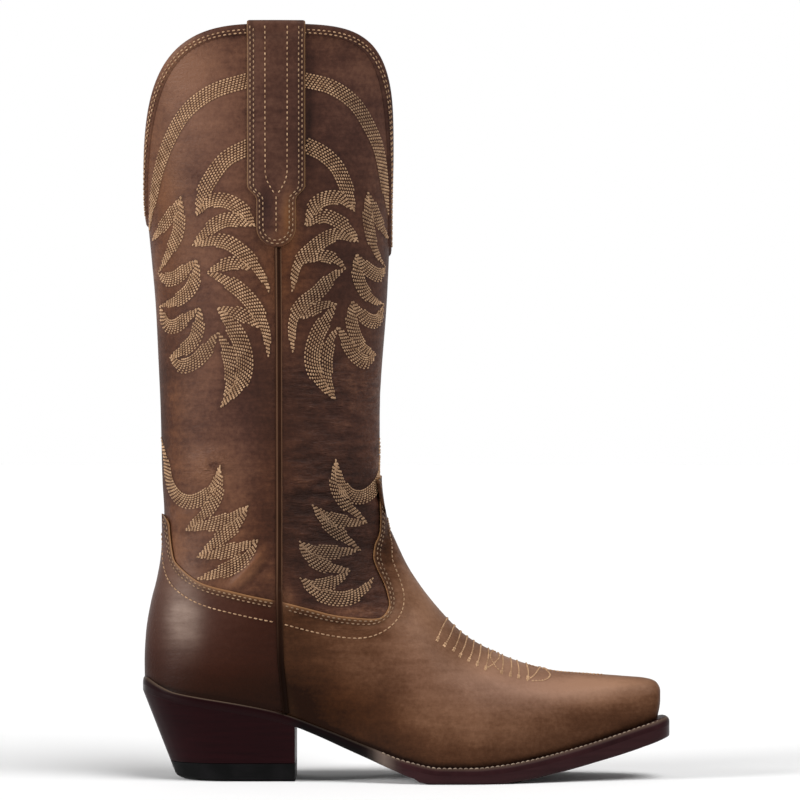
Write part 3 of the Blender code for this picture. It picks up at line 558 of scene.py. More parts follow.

# Patches in pixels: middle, reach along and up, and how much lighter (above zero) or darker the leather is.
# They hold the leather's own tone together with painted light on faces towards the key light, painted shade
# on faces turned from it and along the silhouettes, and a painted shadow beside the strap
LIGHT_AND_TONE_PATCHES = (
    # painted light on the upper back of the shaft, which faces the key light
    (205, 90, 55, 55, 0.24),
    (182, 64, 30, 26, 0.30),
    (362, 72, 24, 34, 0.20),
    (176, 165, 22, 50, 0.16),
    (215, 240, 40, 60, 0.08),
    (258, 320, 18, 90, -0.20),
    (200, 405, 28, 70, 0.16),
    (215, 455, 24, 22, 0.14),
    (264, 490, 20, 110, -0.20),
    (225, 582, 34, 12, 0.20),
    # painted shade along the back silhouette
    (162, 430, 9, 110, -0.34),
    # painted shade over the front half of the shaft, which faces away from the key light
    (335, 110, 60, 70, -0.24),
    (345, 250, 45, 80, -0.24),
    (335, 420, 55, 60, -0.36),
    (293, 520, 16, 70, -0.36),
    (345, 530, 40, 70, -0.46),
    # painted shade along the front silhouette
    (392, 130, 6, 60, -0.20),
    (350, 611, 34, 6, 0.34),
    (266, 205, 7, 26, -0.30),
    (289, 212, 7, 24, 0.45),
    # painted shadow beside the pull strap
    (308, 110, 5, 60, -0.35),
    (250, 640, 40, 50, -0.10),
    (240, 690, 70, 18, -0.14),
    (300, 640, 34, 60, -0.20),
    (420, 610, 26, 50, 0.28),
    (312, 714, 46, 26, -0.14),
    (358, 712, 46, 34, -0.13),
    (405, 745, 30, 16, -0.08),
    (470, 690, 60, 34, 0.08),
    (508, 666, 50, 18, 0.26),
    (500, 734, 90, 24, 0.14),
    (612, 704, 40, 16, 0.20),
    (500, 662, 40, 18, 0.15),
    (174, 556, 15, 32, 0.30),
    (225, 478, 44, 28, 0.18),
    (354, 422, 38, 36, 0.17),
    (286, 597, 13, 13, 0.35),
    (350, 110, 46, 64, 0.09),
    (570, 688, 64, 14, 0.36),
    (615, 682, 60, 8, 0.34),
)

# Painted highlight on the polished counter in pixels, in the same way
COUNTER_HIGHLIGHT = ((183, 614, 16, 31, 0.46),)

# Warmth in pixels, in the same way: tanned places above zero, plum places below
WARMTH = (
    (160, 200, 22, 60, 0.55),
    (166, 300, 16, 60, 0.45),
    (166, 430, 18, 90, 0.80),
    (285, 270, 26, 50, 0.70),
    (268, 500, 30, 110, 0.45),
    (215, 130, 55, 110, -0.60),
    (215, 410, 40, 70, -0.45),
    (345, 420, 40, 60, -0.30),
    (246, 450, 18, 60, -0.45),
    (214, 300, 22, 60, -0.40),
    (350, 110, 50, 90, -0.70),
    (350, 270, 18, 40, -0.30),
    (245, 690, 70, 24, 0.90),
    (190, 620, 40, 30, -0.40),
    (325, 715, 60, 26, 0.90),
    (400, 670, 50, 40, -0.25),
    (510, 690, 80, 26, -0.35),
    (289, 215, 7, 24, 0.80),
    (267, 212, 7, 24, -0.60),
)

# Painted shade on the thread where light falls off, in the same way
THREAD_SHADE = (
    (330, 550, 60, 75, 1.0),
    (338, 290, 50, 150, 0.50),
    (380, 225, 16, 60, 0.25),
    (222, 352, 42, 46, 0.40),
    (362, 112, 26, 40, 0.60),
    (316, 292, 24, 24, 0.35),
    (200, 525, 60, 50, 0.30),
)

# Painted shade towards the sole, and a painted shadow in the crevice above the welt: how much, and how far up
# it reaches in millimetres
SOLE_SHADE = 0.27
SOLE_SHADE_REACH = 25.0
WELT_SHADE = 0.3
WELT_SHADE_REACH = 2.4


# Reading the tables

def smooth_rows(rows, position):
    """Every column of an evenly numbered table, read smoothly and without overshoot at any position."""
    table = np.array(rows, float)
    step = np.diff(table, axis=0)
    before, after = step[:-1], step[1:]
    same_way = before * after > 0
    total = np.where(same_way, before + after, 1.0)
    inner = np.where(same_way, 2.0 * before * after / total, 0.0)
    slope = np.vstack((step[:1], inner, step[-1:]))
    position = np.clip(np.asarray(position, float), 0.0, len(table) - 1)
    low = np.minimum(position.astype(int), len(table) - 2)
    t = (position - low)[..., None]
    rise = step[low]
    first, second = slope[low], slope[low + 1]
    bend, twist = 3 * rise - 2 * first - second, first + second - 2 * rise
    return table[low] + t * (first + t * (bend + t * twist))


def read_table(columns, rows, position):
    """Named columns of a table, read smoothly at any position."""
    values = smooth_rows(rows, position)
    return {name: values[..., i] for i, name in enumerate(columns)}


def section_at(station):
    return read_table(SECTION_COLUMNS, SECTIONS, station)


def sole_at(x):
    """Values of the sole's table at a place along it."""
    xs = np.array(SOLE_ROWS)[:, 0]
    return read_table(SOLE_COLUMNS, SOLE_ROWS, np.interp(x, xs, np.arange(len(xs))))


def station_where(column, value, first, last):
    """Station between two rows at which a column of the sections reaches a value."""
    stations = np.linspace(first, last, READ_STEPS)
    return np.interp(value, section_at(stations)[column], stations)


def way_along(points):
    """Distance of each point along its line."""
    return np.concatenate(([0.0], np.cumsum(np.linalg.norm(np.diff(points, axis=0), axis=1))))


def read_along(at, way, table):
    """Rows of a table at given distances, where way holds each row's own distance."""
    return np.stack([np.interp(at, way, column) for column in table.T], axis=1)


def evenly(points, spacing):
    """The same line with points at even distances."""
    way = way_along(points)
    count = max(int(round(way[-1] / spacing)), 2)
    return read_along(np.linspace(0.0, way[-1], count + 1), way, points)


def smooth_line(points, spacing):
    """Evenly spaced points on a curve through the given ones."""
    points = np.array(points, float)
    padded = np.vstack((2 * points[0] - points[1], points, 2 * points[-1] - points[-2]))
    t = np.linspace(0.0, 1.0, CURVE_STEPS, endpoint=False)[:, None]
    runs = []
    for a, b, c, d in zip(padded, padded[1:], padded[2:], padded[3:]):
        bend = 2 * a - 5 * b + 4 * c - d
        twist = 3 * b - a - 3 * c + d
        runs.append(b + 0.5 * t * ((c - a) + t * (bend + t * twist)))
    return evenly(np.vstack(runs + [points[-1:]]), spacing)


def smooth_step(value):
    value = np.clip(value, 0.0, 1.0)
    return value * value * (3.0 - 2.0 * value)


def bell(value):
    """1 at zero, falling away softly on both sides."""
    return np.exp(-value ** 2)


def unit(vectors):
    """Vectors of length 1 that point the same ways."""
    return vectors / np.maximum(np.linalg.norm(vectors, axis=-1, keepdims=True), TINY)


# The upper's skin

def skin(station, around):
    """Points on the upper's outer face."""
    station, around = np.broadcast_arrays(np.asarray(station, float), np.asarray(around, float))
    row = section_at(station)
    side = np.clip(np.abs(around), 0.0, 1.0)
    outer = around < 0
    edge = np.where(outer, row["edge_out"], row["edge_in"])
    wide = np.where(outer, row["wide_out"], row["wide_in"])
    over = np.minimum(side, 0.5) * math.pi
    under = (1.0 - np.maximum(side, 0.5)) * math.pi
    power = 2.0 / row["full"]
    cos_over = np.maximum(np.cos(over), 0.0)
    sin_under = np.maximum(np.sin(under), 0.0)
    above = side <= 0.5
    along_above = row["wide_at"] + (1.0 - row["wide_at"]) * cos_over ** power
    along_below = row["wide_at"] * (1.0 - np.cos(under))
    across_above = wide * np.sin(over) ** power
    across_below = edge + (wide - edge) * sin_under ** (2.0 * row["tuck"])
    along = np.where(above, along_above, along_below)
    across = np.where(above, across_above, across_below)
    x = row["base_x"] + (row["top_x"] - row["base_x"]) * along
    z = row["base_z"] + (row["top_z"] - row["base_z"]) * along
    return np.stack((x, np.sign(around) * across, z), axis=-1)


def skin_normal(station, around):
    """Outward normals of the upper's outer face."""
    on_back_line = (np.asarray(station) >= HEEL_BACK_ROW) & (np.abs(around) > BACK_LINE)
    station = np.maximum(np.asarray(station, float), FIRST_NORMAL)
    around = np.clip(np.asarray(around, float), -LAST_NORMAL, LAST_NORMAL)
    ahead, behind = station + NORMAL_STATION_STEP, station - NORMAL_STATION_STEP
    along = skin(ahead, around) - skin(behind, around)
    across = skin(station, around + NORMAL_AROUND_STEP) - skin(station, around - NORMAL_AROUND_STEP)
    normal = np.cross(across, along)
    normal[..., 1] = np.where(on_back_line, 0.0, normal[..., 1])
    return unit(normal)


def lifted(station, around, lift):
    """Points held off the upper's smooth outer face, or inside it where lift is negative."""
    station, around = np.broadcast_arrays(np.asarray(station, float), np.asarray(around, float))
    facing = np.where(station > 0, around, 0.0)
    lift = np.broadcast_to(np.asarray(lift, float), station.shape)
    return skin(station, around) + skin_normal(station, facing) * lift[..., None]


def as_seen(points):
    """Places on the boot's middle plane that points cover in the photograph."""
    reach = CAMERA_DISTANCE / (CAMERA_DISTANCE + points[..., 1] + SIDE_SHIFT)
    along = (points[..., 0] - CAMERA_X) * reach
    up = (points[..., 2] - CAMERA_HEIGHT) * reach
    return np.stack((along, up), axis=-1)


def from_side(points):
    """Side view places of points."""
    return points[..., [0, 2]]


def in_space(points):
    """Points as they are, for a search in space."""
    return points


def nearest_places(view, targets):
    """Roughly the places on the outer side whose view comes closest to each target."""
    stations, arounds = np.meshgrid(
        np.arange(1.0, LAST_ROW, SEARCH_STATION_STEP), np.arange(SEARCH_AROUND, 0.0, SEARCH_AROUND_STEP),
    )
    grid = view(skin(stations, arounds)).reshape(-1, targets.shape[1])
    best = [int(np.argmin(((grid - target) ** 2).sum(axis=1))) for target in targets]
    return np.stack((stations.ravel()[best], arounds.ravel()[best]), axis=1)


def find_on_skin(view, targets, start=None):
    """Places on the outer side whose view comes closest to each target, by damped steps from a start."""
    targets = np.asarray(targets, float)
    place = nearest_places(view, targets) if start is None else np.array(start, float)
    for _ in range(FIND_ROUNDS):
        here = view(skin(*place.T))
        slopes = [(view(skin(*(place + nudge).T)) - here) / nudge.sum() for nudge in FIND_NUDGES]
        turn = np.stack(slopes, axis=2)
        square = np.einsum("nij,nik->njk", turn, turn)
        for i in range(len(FIND_NUDGES)):
            square[:, i, i] += FIND_DAMPING * square[:, i, i] + NEARLY
        pull = np.einsum("nij,ni->nj", turn, targets - here)
        step = np.linalg.solve(square, pull[..., None])[..., 0]
        place += np.clip(step, -FIND_STEP, FIND_STEP)
        place[:, 1] = np.clip(place[:, 1], -1.0, FIND_LAST_AROUND)
    return place


def photo_line(pixels, spacing):
    """Places of a line drawn in the photograph's pixels."""
    line = smooth_line(pixels, spacing / PIXEL)
    return find_on_skin(as_seen, (line - PICTURE / 2) * PIXEL_STEP)


def side_line(points, spacing):
    """Places of a side view line in millimetres."""
    return find_on_skin(from_side, smooth_line(points, spacing))


def moved_aside(places, distance):
    """A line on the skin moved sideways along it; above zero is to the right of its way."""
    points = skin(*places.T)
    aside = unit(np.cross(np.gradient(points, axis=0), skin_normal(*places.T)))
    distance = np.broadcast_to(np.asarray(distance, float), len(points))
    return find_on_skin(in_space, points + aside * distance[:, None], places)


def to_side(places, side):
    """Places of the outer side as they are where side is -1, or mirrored to the inner side where it is 1."""
    return places * (1.0, -side)


# Creases, patches and stitch bands on the leather

def outer_twin(points):
    """Points with those of the inner side mirrored to the outer side."""
    return np.column_stack((points[:, 0], -np.abs(points[:, 1]), points[:, 2]))


def crease_lines():
    lines = []
    for half_width, height, *pixels in CREASES:
        lines.append((half_width, height, skin(*photo_line(pixels, CREASE_SPACING).T)))
    return lines


def relief(points):
    """Height of the creases at points of the upper, the same on both sides of the boot."""
    near = outer_twin(points)
    height = np.zeros(len(points))
    for half_width, depth, line in CREASE_LINES:
        reach = CREASE_REACH * half_width
        close = np.all((near > line.min(axis=0) - reach) & (near < line.max(axis=0) + reach), axis=1)
        if not close.any():
            continue
        apart = np.linalg.norm(near[close][:, None] - line[None], axis=2)
        along = np.argmin(apart, axis=1) / (len(line) - 1)
        fade = smooth_step(np.minimum(along, 1.0 - along) / CREASE_FADE)
        strength = CREASE_END + (1.0 - CREASE_END) * fade
        height[close] += depth * bell(apart.min(axis=1) / half_width) * strength
    return height


def patches(points, table):
    """Sum of soft round patches placed in the photograph, the same on both sides of the boot."""
    seen = as_seen(outer_twin(points)) / PIXEL_STEP + PICTURE / 2
    total = np.zeros(len(points))
    for x, y, wide, tall, amount in table:
        total += amount * bell((seen[:, 0] - x) / wide) * bell((seen[:, 1] - y) / tall)
    return total


def leather_light_and_tone(points):
    """How much lighter or darker the leather is: its patches, and painted shade towards the sole and above
    the welt.
    """
    height = np.maximum(points[:, 2] - sole_top(points[:, 0]), 0.0)
    # painted shade towards the sole, and a painted shadow in the crevice above the welt
    painted_low_shade = SOLE_SHADE * bell(height / SOLE_SHADE_REACH) + WELT_SHADE * bell(height / WELT_SHADE_REACH)
    return patches(points, LIGHT_AND_TONE_PATCHES) - painted_low_shade


def tree_of(points):
    """Search tree of points."""
    tree = KDTree(len(points))
    for i, point in enumerate(points):
        tree.insert(point, i)
    tree.balance()
    return tree


def closeness(points, lines, reach):
    """1 on the lines of points, falling to 0 at a given reach."""
    tree = tree_of(lines)
    apart = np.array([tree.find(point)[2] for point in outer_twin(points)])
    return 1.0 - smooth_step(apart / reach)


def leather_points(station, around, lift):
    """Points on the creased leather, a given way off the upper."""
    height = relief(skin(station, around).reshape(-1, 3))
    return lifted(station, around, lift + height.reshape(np.shape(station)))


def plain_values(points, **others):
    """Shader values of smooth leather: its patches of tone with painted light and shade, and others as given.
    """
    points = points.reshape(-1, 3)
    return {"light_and_tone": leather_light_and_tone(points), "warm": patches(points, WARMTH), **others}


def leather_values(points, **others):
    """Shader values of creased leather: tone, painted light, highlight and shade, wrinkles, stitch bands,
    others as given.
    """
    points = points.reshape(-1, 3)
    values = plain_values(points, **others)
    # painted highlight on the crease ridges and painted shade in their troughs
    values["light_and_tone"] += CREASE_SHADE * relief(points)
    # painted highlight on the counter
    values["counter_highlight"] = patches(points, COUNTER_HIGHLIGHT)
    values["crinkle"] = np.minimum(EVEN_CRINKLE + patches(points, CRINKLES), 1.0)
    # painted shade in the stitched bands
    values["sewn"] = closeness(points, STITCH_BANDS, STITCH_BAND)
    return values


# Meshes

def numbered(rows, columns):
    """Numbers of the points of a grid."""
    return np.arange(rows * columns).reshape(rows, columns)


def grid_faces(index):
    """Quads of a grid of numbered points."""
    corners = (index[:-1, :-1], index[:-1, 1:], index[1:, 1:], index[1:, :-1])
    return np.stack([corner.ravel() for corner in corners], axis=1)


def ring_faces(rings, size, wrap=False):
    """Quads of a run of closed rings."""
    index = numbered(rings, size)
    if wrap:
        index = np.vstack((index, index[:1]))
    return grid_faces(np.hstack((index, index[:, :1])))


def capped_rings(rings):
    """Points and faces of a run of closed rings with both of its ends closed."""
    points = np.array(rings)
    count, size = points.shape[:2]
    faces = ring_faces(count, size).tolist()
    faces += [list(range(size)), list(range((count - 1) * size, count * size))]
    return points, faces


def add_piece(name, points, faces, materials, values=None, parts=None, outward=False):
    """Smooth piece from points in millimetres, with values for its shader and a part number for each face."""
    mesh = bpy.data.meshes.new(name)
    metres = (np.asarray(points, float).reshape(-1, 3) + (0.0, SIDE_SHIFT, 0.0)) * MM
    mesh.from_pydata(metres.tolist(), [], [list(face) for face in faces])
    for key, numbers in (values or {}).items():
        layer = mesh.attributes.new(key, "FLOAT", "POINT")
        layer.data.foreach_set("value", np.asarray(numbers, np.float32).ravel())
    for material in materials:
        mesh.materials.append(material)
    if parts is not None:
        mesh.polygons.foreach_set("material_index", np.asarray(parts, np.int32))
    work = bmesh.new()
    work.from_mesh(mesh)
    bmesh.ops.remove_doubles(work, verts=work.verts, dist=MERGE * MM)
    bmesh.ops.dissolve_degenerate(work, edges=work.edges, dist=SLIVER * MM)
    if outward:
        bmesh.ops.recalc_face_normals(work, faces=work.faces)
    work.to_mesh(mesh)
    work.free()
    mesh.shade_smooth()
    piece = bpy.data.objects.new(name, mesh)
    bpy.context.scene.collection.objects.link(piece)
    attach(piece, "root")
    return piece


def add_solid(name, rings, material, values=None):
    """Piece from a run of closed rings with both of its ends closed."""
    points, faces = capped_rings(rings)
    return add_piece(name, points, faces, [material], values, outward=True)


def stands_for(piece, node):
    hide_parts(node)
    return piece


def keep_sharp(piece, degrees):
    piece.data.set_sharp_from_angle(angle=math.radians(degrees))
    return piece


def thicken(piece, thickness):
    shell = piece.modifiers.new("leather", "SOLIDIFY")
    shell.thickness = thickness * MM
    shell.offset = -1.0
    return piece


# Shaft and foot

def collar_height(around):
    """Height of the collar's edge: high at the sides, dipped at the front and the back."""
    side = np.abs(around)
    front = side <= 0.5
    reach = np.where(front, side, 1.0 - side) / 0.5
    dip = np.where(front, FRONT_DIP, BACK_DIP)
    curve = np.where(front, FRONT_CURVE, BACK_CURVE)
    return dip + (COLLAR_TOP - dip) * (1.0 - (1.0 - reach) ** curve)


def station_at_height(z):
    """Station of a height on the shaft, where the sections are level."""
    return station_where("top_z", z, LEVEL_ROW, LAST_ROW)


def collar_places(arounds):
    """Stations and arounds along the collar's edge."""
    return station_at_height(collar_height(arounds)), arounds


def crowded(count):
    """Values from -1 to 1, closer together at the ridge and at the base."""
    even = np.linspace(-1.0, 1.0, count + 1)
    return even - CROWDING * np.sin(2 * math.pi * even) / (2 * math.pi)


def upper_places(foot_rows, leg_rows, collar_rows, columns):
    """Stations and arounds of the upper's rows and columns, toe first and collar last."""
    arounds = crowded(columns)
    level_z = SECTIONS[LEVEL_ROW][1]
    foot = np.linspace(0.0, INSTEP_ROW, foot_rows, endpoint=False)
    leg = np.linspace(INSTEP_ROW, LEVEL_ROW, leg_rows)
    rows = [np.full_like(arounds, station) for station in (*foot, *leg)]
    for step in np.linspace(0.0, 1.0, collar_rows + 1)[1:]:
        rows.append(station_at_height(level_z + (collar_height(arounds) - level_z) * step))
    return np.array(rows), np.tile(arounds, (len(rows), 1))


def make_upper(leather, lining):
    """Hollow upper: creased leather outside, smooth lining inside, joined at the collar and the sole."""
    stations, arounds = upper_places(**OUTSIDE_GRID)
    in_stations, in_arounds = upper_places(**LINING_GRID)
    outside = leather_points(stations, arounds, 0.0)
    inside = lifted(in_stations, in_arounds, -WALL)
    outer = numbered(*stations.shape)
    inner = outer.size + numbered(*in_stations.shape)
    lining_faces = grid_faces(inner)[:, ::-1]
    faces = [grid_faces(outer), lining_faces]
    faces.append(grid_faces(np.stack((outer[-1], inner[-1]))))
    faces.append(grid_faces(np.stack((inner[0], outer[0]))))
    for column, order in ((0, -1), (-1, 1)):
        rim = sole_rim(stations[:, column], in_stations[:, column], outer[:, column], inner[:, column])
        faces.append(rim[:, ::order])
    parts = np.concatenate([np.full(len(group), int(group is lining_faces)) for group in faces])
    points = np.vstack((outside.reshape(-1, 3), inside.reshape(-1, 3)))
    piece = add_piece(
        "upper_leather", points, np.vstack(faces), [leather, lining], leather_values(points), parts,
    )
    return stands_for(piece, "upper")


def sole_rim(stations, in_stations, outer, inner):
    """Faces between the outer and the inner face along the sole, in one column of the upper's points."""
    on_sole = stations <= HEEL_BACK_ROW + NEARLY
    nearest = [int(np.argmin(np.abs(in_stations - station))) for station in stations[on_sole]]
    return grid_faces(np.stack((outer[on_sole], inner[nearest])))


def seam_x(z):
    xs, zs = np.array(SEAM_LINE[::-1]).T
    return np.interp(z, zs, xs)


def sole_top(x):
    """Height of the welt's upper face, carried straight on past the toe."""
    row = section_at(np.linspace(HEEL_BACK_ROW, SOLE_LINE_END, SOLE_LINE_STEPS))
    xs, zs = row["base_x"], row["base_z"]
    slope = (zs[-1] - zs[-SOLE_LINE_TAIL]) / (xs[-1] - xs[-SOLE_LINE_TAIL])
    return np.interp(x, xs, zs) - GAP + slope * np.maximum(np.asarray(x, float) - xs[-1], 0.0)


def seam_foot():
    """Height of the welt below the side seam."""
    return float(sole_top(SEAM_LINE[-1][0]))


def panel_edge(edge, shift, ending):
    """Places of a foot panel's edge, from the sole up the seam and along its upper line."""
    heights = np.linspace(seam_foot() + 2 * GAP, SEAM_JOIN, SEAM_POINTS)
    up = [(float(seam_x(z)) + shift, z) for z in heights]
    seam = side_line(up, SEAM_SPACING)
    seam[0, 1] = -1.0
    along = side_line([up[-1], *edge], FINE_SPACING)
    return np.vstack((seam[:-1], along, [ending]))


def vamp_edge():
    top = station_where("top_z", TONGUE_TOP, *TONGUE_SECTIONS)
    return panel_edge(VAMP_EDGE, SEAM_CUT, (top, 0.0))


def counter_edge():
    top = station_where("base_z", COUNTER_TIP, *COUNTER_SECTIONS)
    return panel_edge(COUNTER_EDGE, -SEAM_CUT, (top, -1.0))


def rounded_lift(inset):
    """Lift of a panel a given way inside its cut edge."""
    way = np.clip(inset / EDGE_ROUND, 0.0, 1.0)
    return PANEL_LIFT - EDGE_DROP * (1.0 - np.sqrt(1.0 - (1.0 - way) ** 2))


def worn_edge(points, inset):
    """How worn a panel is, a given way inside its cut edge; less so beside the seam."""
    points = points.reshape(-1, 3)
    from_seam = np.abs(points[:, 0] - seam_x(points[:, 2])) - SEAM_WIDTH / 2
    beside = SEAM_WEAR + (1.0 - SEAM_WEAR) * smooth_step(from_seam / SEAM_WEAR_REACH)
    return np.exp(-np.ravel(inset) / EDGE_WEAR) * beside


def make_vamp(leather):
    """Vamp with its tongue and wings: columns run from the toe to the panel's own cut edge."""
    edge = vamp_edge()
    even_rows = np.linspace(0.0, VAMP_FINE, VAMP_ROWS)
    fine_rows = np.linspace(VAMP_FINE_NEXT, VAMP_RIM, VAMP_FINE_ROWS)
    rim_rows = 1.0 - (1.0 - VAMP_RIM) * EDGE_STEPS[::-1]
    shares = np.concatenate((even_rows, fine_rows, rim_rows))[:, None]
    even = np.linspace(-1.0, 0.0, len(edge))
    pull = shares ** 3
    arounds = even * (1.0 - pull) + edge[:, 1] * pull
    stations = shares * edge[:, 0]
    stations = np.hstack((stations, stations[:, -2::-1]))
    arounds = np.hstack((arounds, -arounds[:, -2::-1]))
    inset = np.broadcast_to((1.0 - shares) * VAMP_SPAN, stations.shape)
    points = leather_points(stations, arounds, rounded_lift(inset))
    values = leather_values(points, edge=worn_edge(points, inset))
    piece = add_piece("vamp_leather", points, grid_faces(numbered(*stations.shape)), [leather], values)
    return stands_for(thicken(piece, PANEL), "vamp")


def eased(grid, hold):
    """A grid of points with its run along the rows smoothed, as far as hold allows."""
    grid = grid.copy()
    for _ in range(EASE_ROUNDS):
        middle = (grid[:, :-2] + grid[:, 2:]) / 2
        grid[:, 1:-1] += hold[:, None, None] * 0.5 * (middle - grid[:, 1:-1])
    return grid


def make_counter(leather):
    """Heel counter: columns run from its cut edge down to the sole or round to the back line."""
    edge = counter_edge()
    shares = np.concatenate((COUNTER_RIM * EDGE_STEPS, np.linspace(COUNTER_RIM, 1.0, COUNTER_ROWS)))
    hold = smooth_step(shares / COUNTER_EASE_EDGE) * smooth_step((1.0 - shares) / COUNTER_EASE_BASE)
    arounds = edge[:, 1] - (1.0 + edge[:, 1]) * shares[:, None]
    stations = np.broadcast_to(edge[:, 0], arounds.shape)
    inset = shares[:, None] * np.maximum((1.0 + edge[:, 1]) * COUNTER_SPAN, 1.0)
    lift = rounded_lift(inset)
    halves = [eased(leather_points(stations, arounds * way, lift), hold) for way in (1, -1)]
    index = numbered(*arounds.shape)
    faces = np.vstack((grid_faces(index)[:, ::-1], grid_faces(index + index.size)))
    points = np.array(halves)
    worn = np.concatenate([worn_edge(half, inset) for half in halves])
    values = leather_values(points, edge=worn)
    piece = add_piece("counter_leather", points, faces, [leather], values, outward=True)
    return stands_for(thicken(piece, PANEL), "counter")


def make_binding(leather):
    """Binding folded over the collar's edge."""
    arounds = crowded(BINDING_COLUMNS)[:-1]
    before, after = np.maximum(arounds - BINDING_STEP, -1.0), arounds + BINDING_STEP
    run = skin(*collar_places(after)) - skin(*collar_places(before))
    level = np.maximum(np.linalg.norm(run[:, :2], axis=1), NEARLY)
    tilt = np.arctan2(run[:, 2], level)
    in_a_dip = (np.abs(arounds) > BACK_LINE) | (np.abs(arounds) < NEARLY)
    tilt[in_a_dip] = 0.0
    outside, inside, rise = GAP + BINDING, -WALL - 0.5, 0.15
    # way down from the edge and lift, from the outside over the edge to the inside
    profile = (
        (BINDING_WIDTH + 0.4, -0.05), (BINDING_WIDTH - 0.3, outside * 0.5),
        (BINDING_WIDTH - 1.2, outside * 0.9), (2.2, outside + 0.1), (0.5, outside), (0.0, outside * 0.75),
        (-rise, 0.0), (-rise, -WALL * 0.6), (0.0, -WALL - 0.2), (0.6, inside), (BINDING_WIDTH, inside),
        (BINDING_WIDTH, -WALL + 0.1),
    )
    rings = []
    for down, lift in profile:
        around = np.clip(arounds + down * np.sin(tilt) * (after - before) / level, -1.0, 1.0)
        station = station_at_height(collar_height(arounds) - down * np.cos(tilt))
        rings.append(lifted(station, around, lift) + UP * max(-down, 0.0))
    points = np.stack(rings, axis=1)
    faces = ring_faces(len(arounds), len(profile), wrap=True)
    values = plain_values(points)
    values["light_and_tone"] -= BINDING_SHADE
    piece = add_piece("collar_binding", points, faces, [leather], values, outward=True)
    return stands_for(piece, "collar_band")


def make_side_seam(name, side, leather):
    """Piping over the side seam: a rounded fold to the back and a lower one to the front."""
    across, up = np.array(SEAM_PROFILE).T
    heights = np.concatenate((
        np.linspace(SEAM_TOP, SEAM_FINE + 1.0, SEAM_ROWS),
        np.linspace(SEAM_FINE, seam_foot() + GAP + 1.0, SEAM_FINE_ROWS),
    ))
    targets = [(float(seam_x(z)) + share * SEAM_WIDTH, z) for z in heights for share in across]
    places = to_side(find_on_skin(from_side, targets), side)
    step = smooth_step((SEAM_STEP_TOP - heights) / (SEAM_STEP_TOP - SEAM_STEP_FOOT))
    lift = PANEL_LIFT * np.outer(step, up > 0.0) + SEAM_HEIGHT * up
    points = leather_points(*places.T, lift.ravel())
    # painted highlights on the piping's crests, fading near the foot, where the piping darkens
    bright = 1.0 - SEAM_DULL * smooth_step((SEAM_DULL_START - heights) / SEAM_DULL_RUN)
    piping_highlight = sum(share * bell((across - at) / wide) for at, wide, share in SEAM_HIGHLIGHTS)
    low = np.repeat(smooth_step((SEAM_STEP_TOP - heights) / SEAM_LOW_RUN), len(across))
    values = {"piping_highlight": np.outer(bright, piping_highlight), "low": low}
    rings = points.reshape(len(heights), len(across), 3)
    piece = add_solid("side_seam_piping_" + name, rings, leather, values)
    return stands_for(piece, "side_seam_" + name)


# Pull straps

def strap_half(z):
    """Half width of the strap's outer leg above its round tip."""
    tail = STRAP_TAIL_WIDTH / 2
    shoulder = smooth_step((np.asarray(z) - STRAP_TAIL_TOP) / (STRAP_SHOULDER - STRAP_TAIL_TOP))
    return tail + (STRAP_WIDTH / 2 - tail) * shoulder


def strap_lift(z):
    """Lift of the strap's inner face off the shaft, which rises over the binding near the collar."""
    over = smooth_step((z - COLLAR_TOP + BINDING_WIDTH + STRAP_RISE) / STRAP_RISE)
    return GAP + (BINDING + GAP) * over


def strap_rows():
    """Rows along the strap from its tip over the collar to its inner end: height, half width, lift of
    its inner face and the way its thickness runs, outward and upward."""
    tail = STRAP_TAIL_WIDTH / 2
    fold_foot = COLLAR_TOP - 0.6
    over_band = GAP + BINDING + GAP
    middle = (over_band + STRAP_INSIDE_LIFT) / 2
    rows = []
    for turn in np.linspace(0.06, 0.5, STRAP_TIP_ROWS) * math.pi:
        rows.append((STRAP_TIP + tail * (1.0 - math.cos(turn)), tail * math.sin(turn), GAP, 1.0, 0.0))
    for z in np.linspace(STRAP_TIP + tail + 1.5, fold_foot, STRAP_LEG_ROWS):
        rows.append((z, float(strap_half(z)), float(strap_lift(z)), 1.0, 0.0))
    for turn in np.linspace(0.1, 0.9, STRAP_FOLD_ROWS) * math.pi:
        lift = middle + (over_band - middle) * math.cos(turn)
        rise = GAP + STRAP_FOLD * math.sin(turn)
        rows.append((COLLAR_TOP + rise, STRAP_WIDTH / 2, lift, math.cos(turn), math.sin(turn)))
    for z in np.linspace(fold_foot, STRAP_INSIDE_END, STRAP_INNER_ROWS):
        rows.append((z, STRAP_WIDTH / 2, STRAP_INSIDE_LIFT, -1.0, 0.0))
    return rows


def near_rim(across, start):
    """0 in the middle of a strap, rising from a start to 1 at its edges."""
    return np.clip((np.abs(across) - start) / (1.0 - start), 0.0, 1.0)


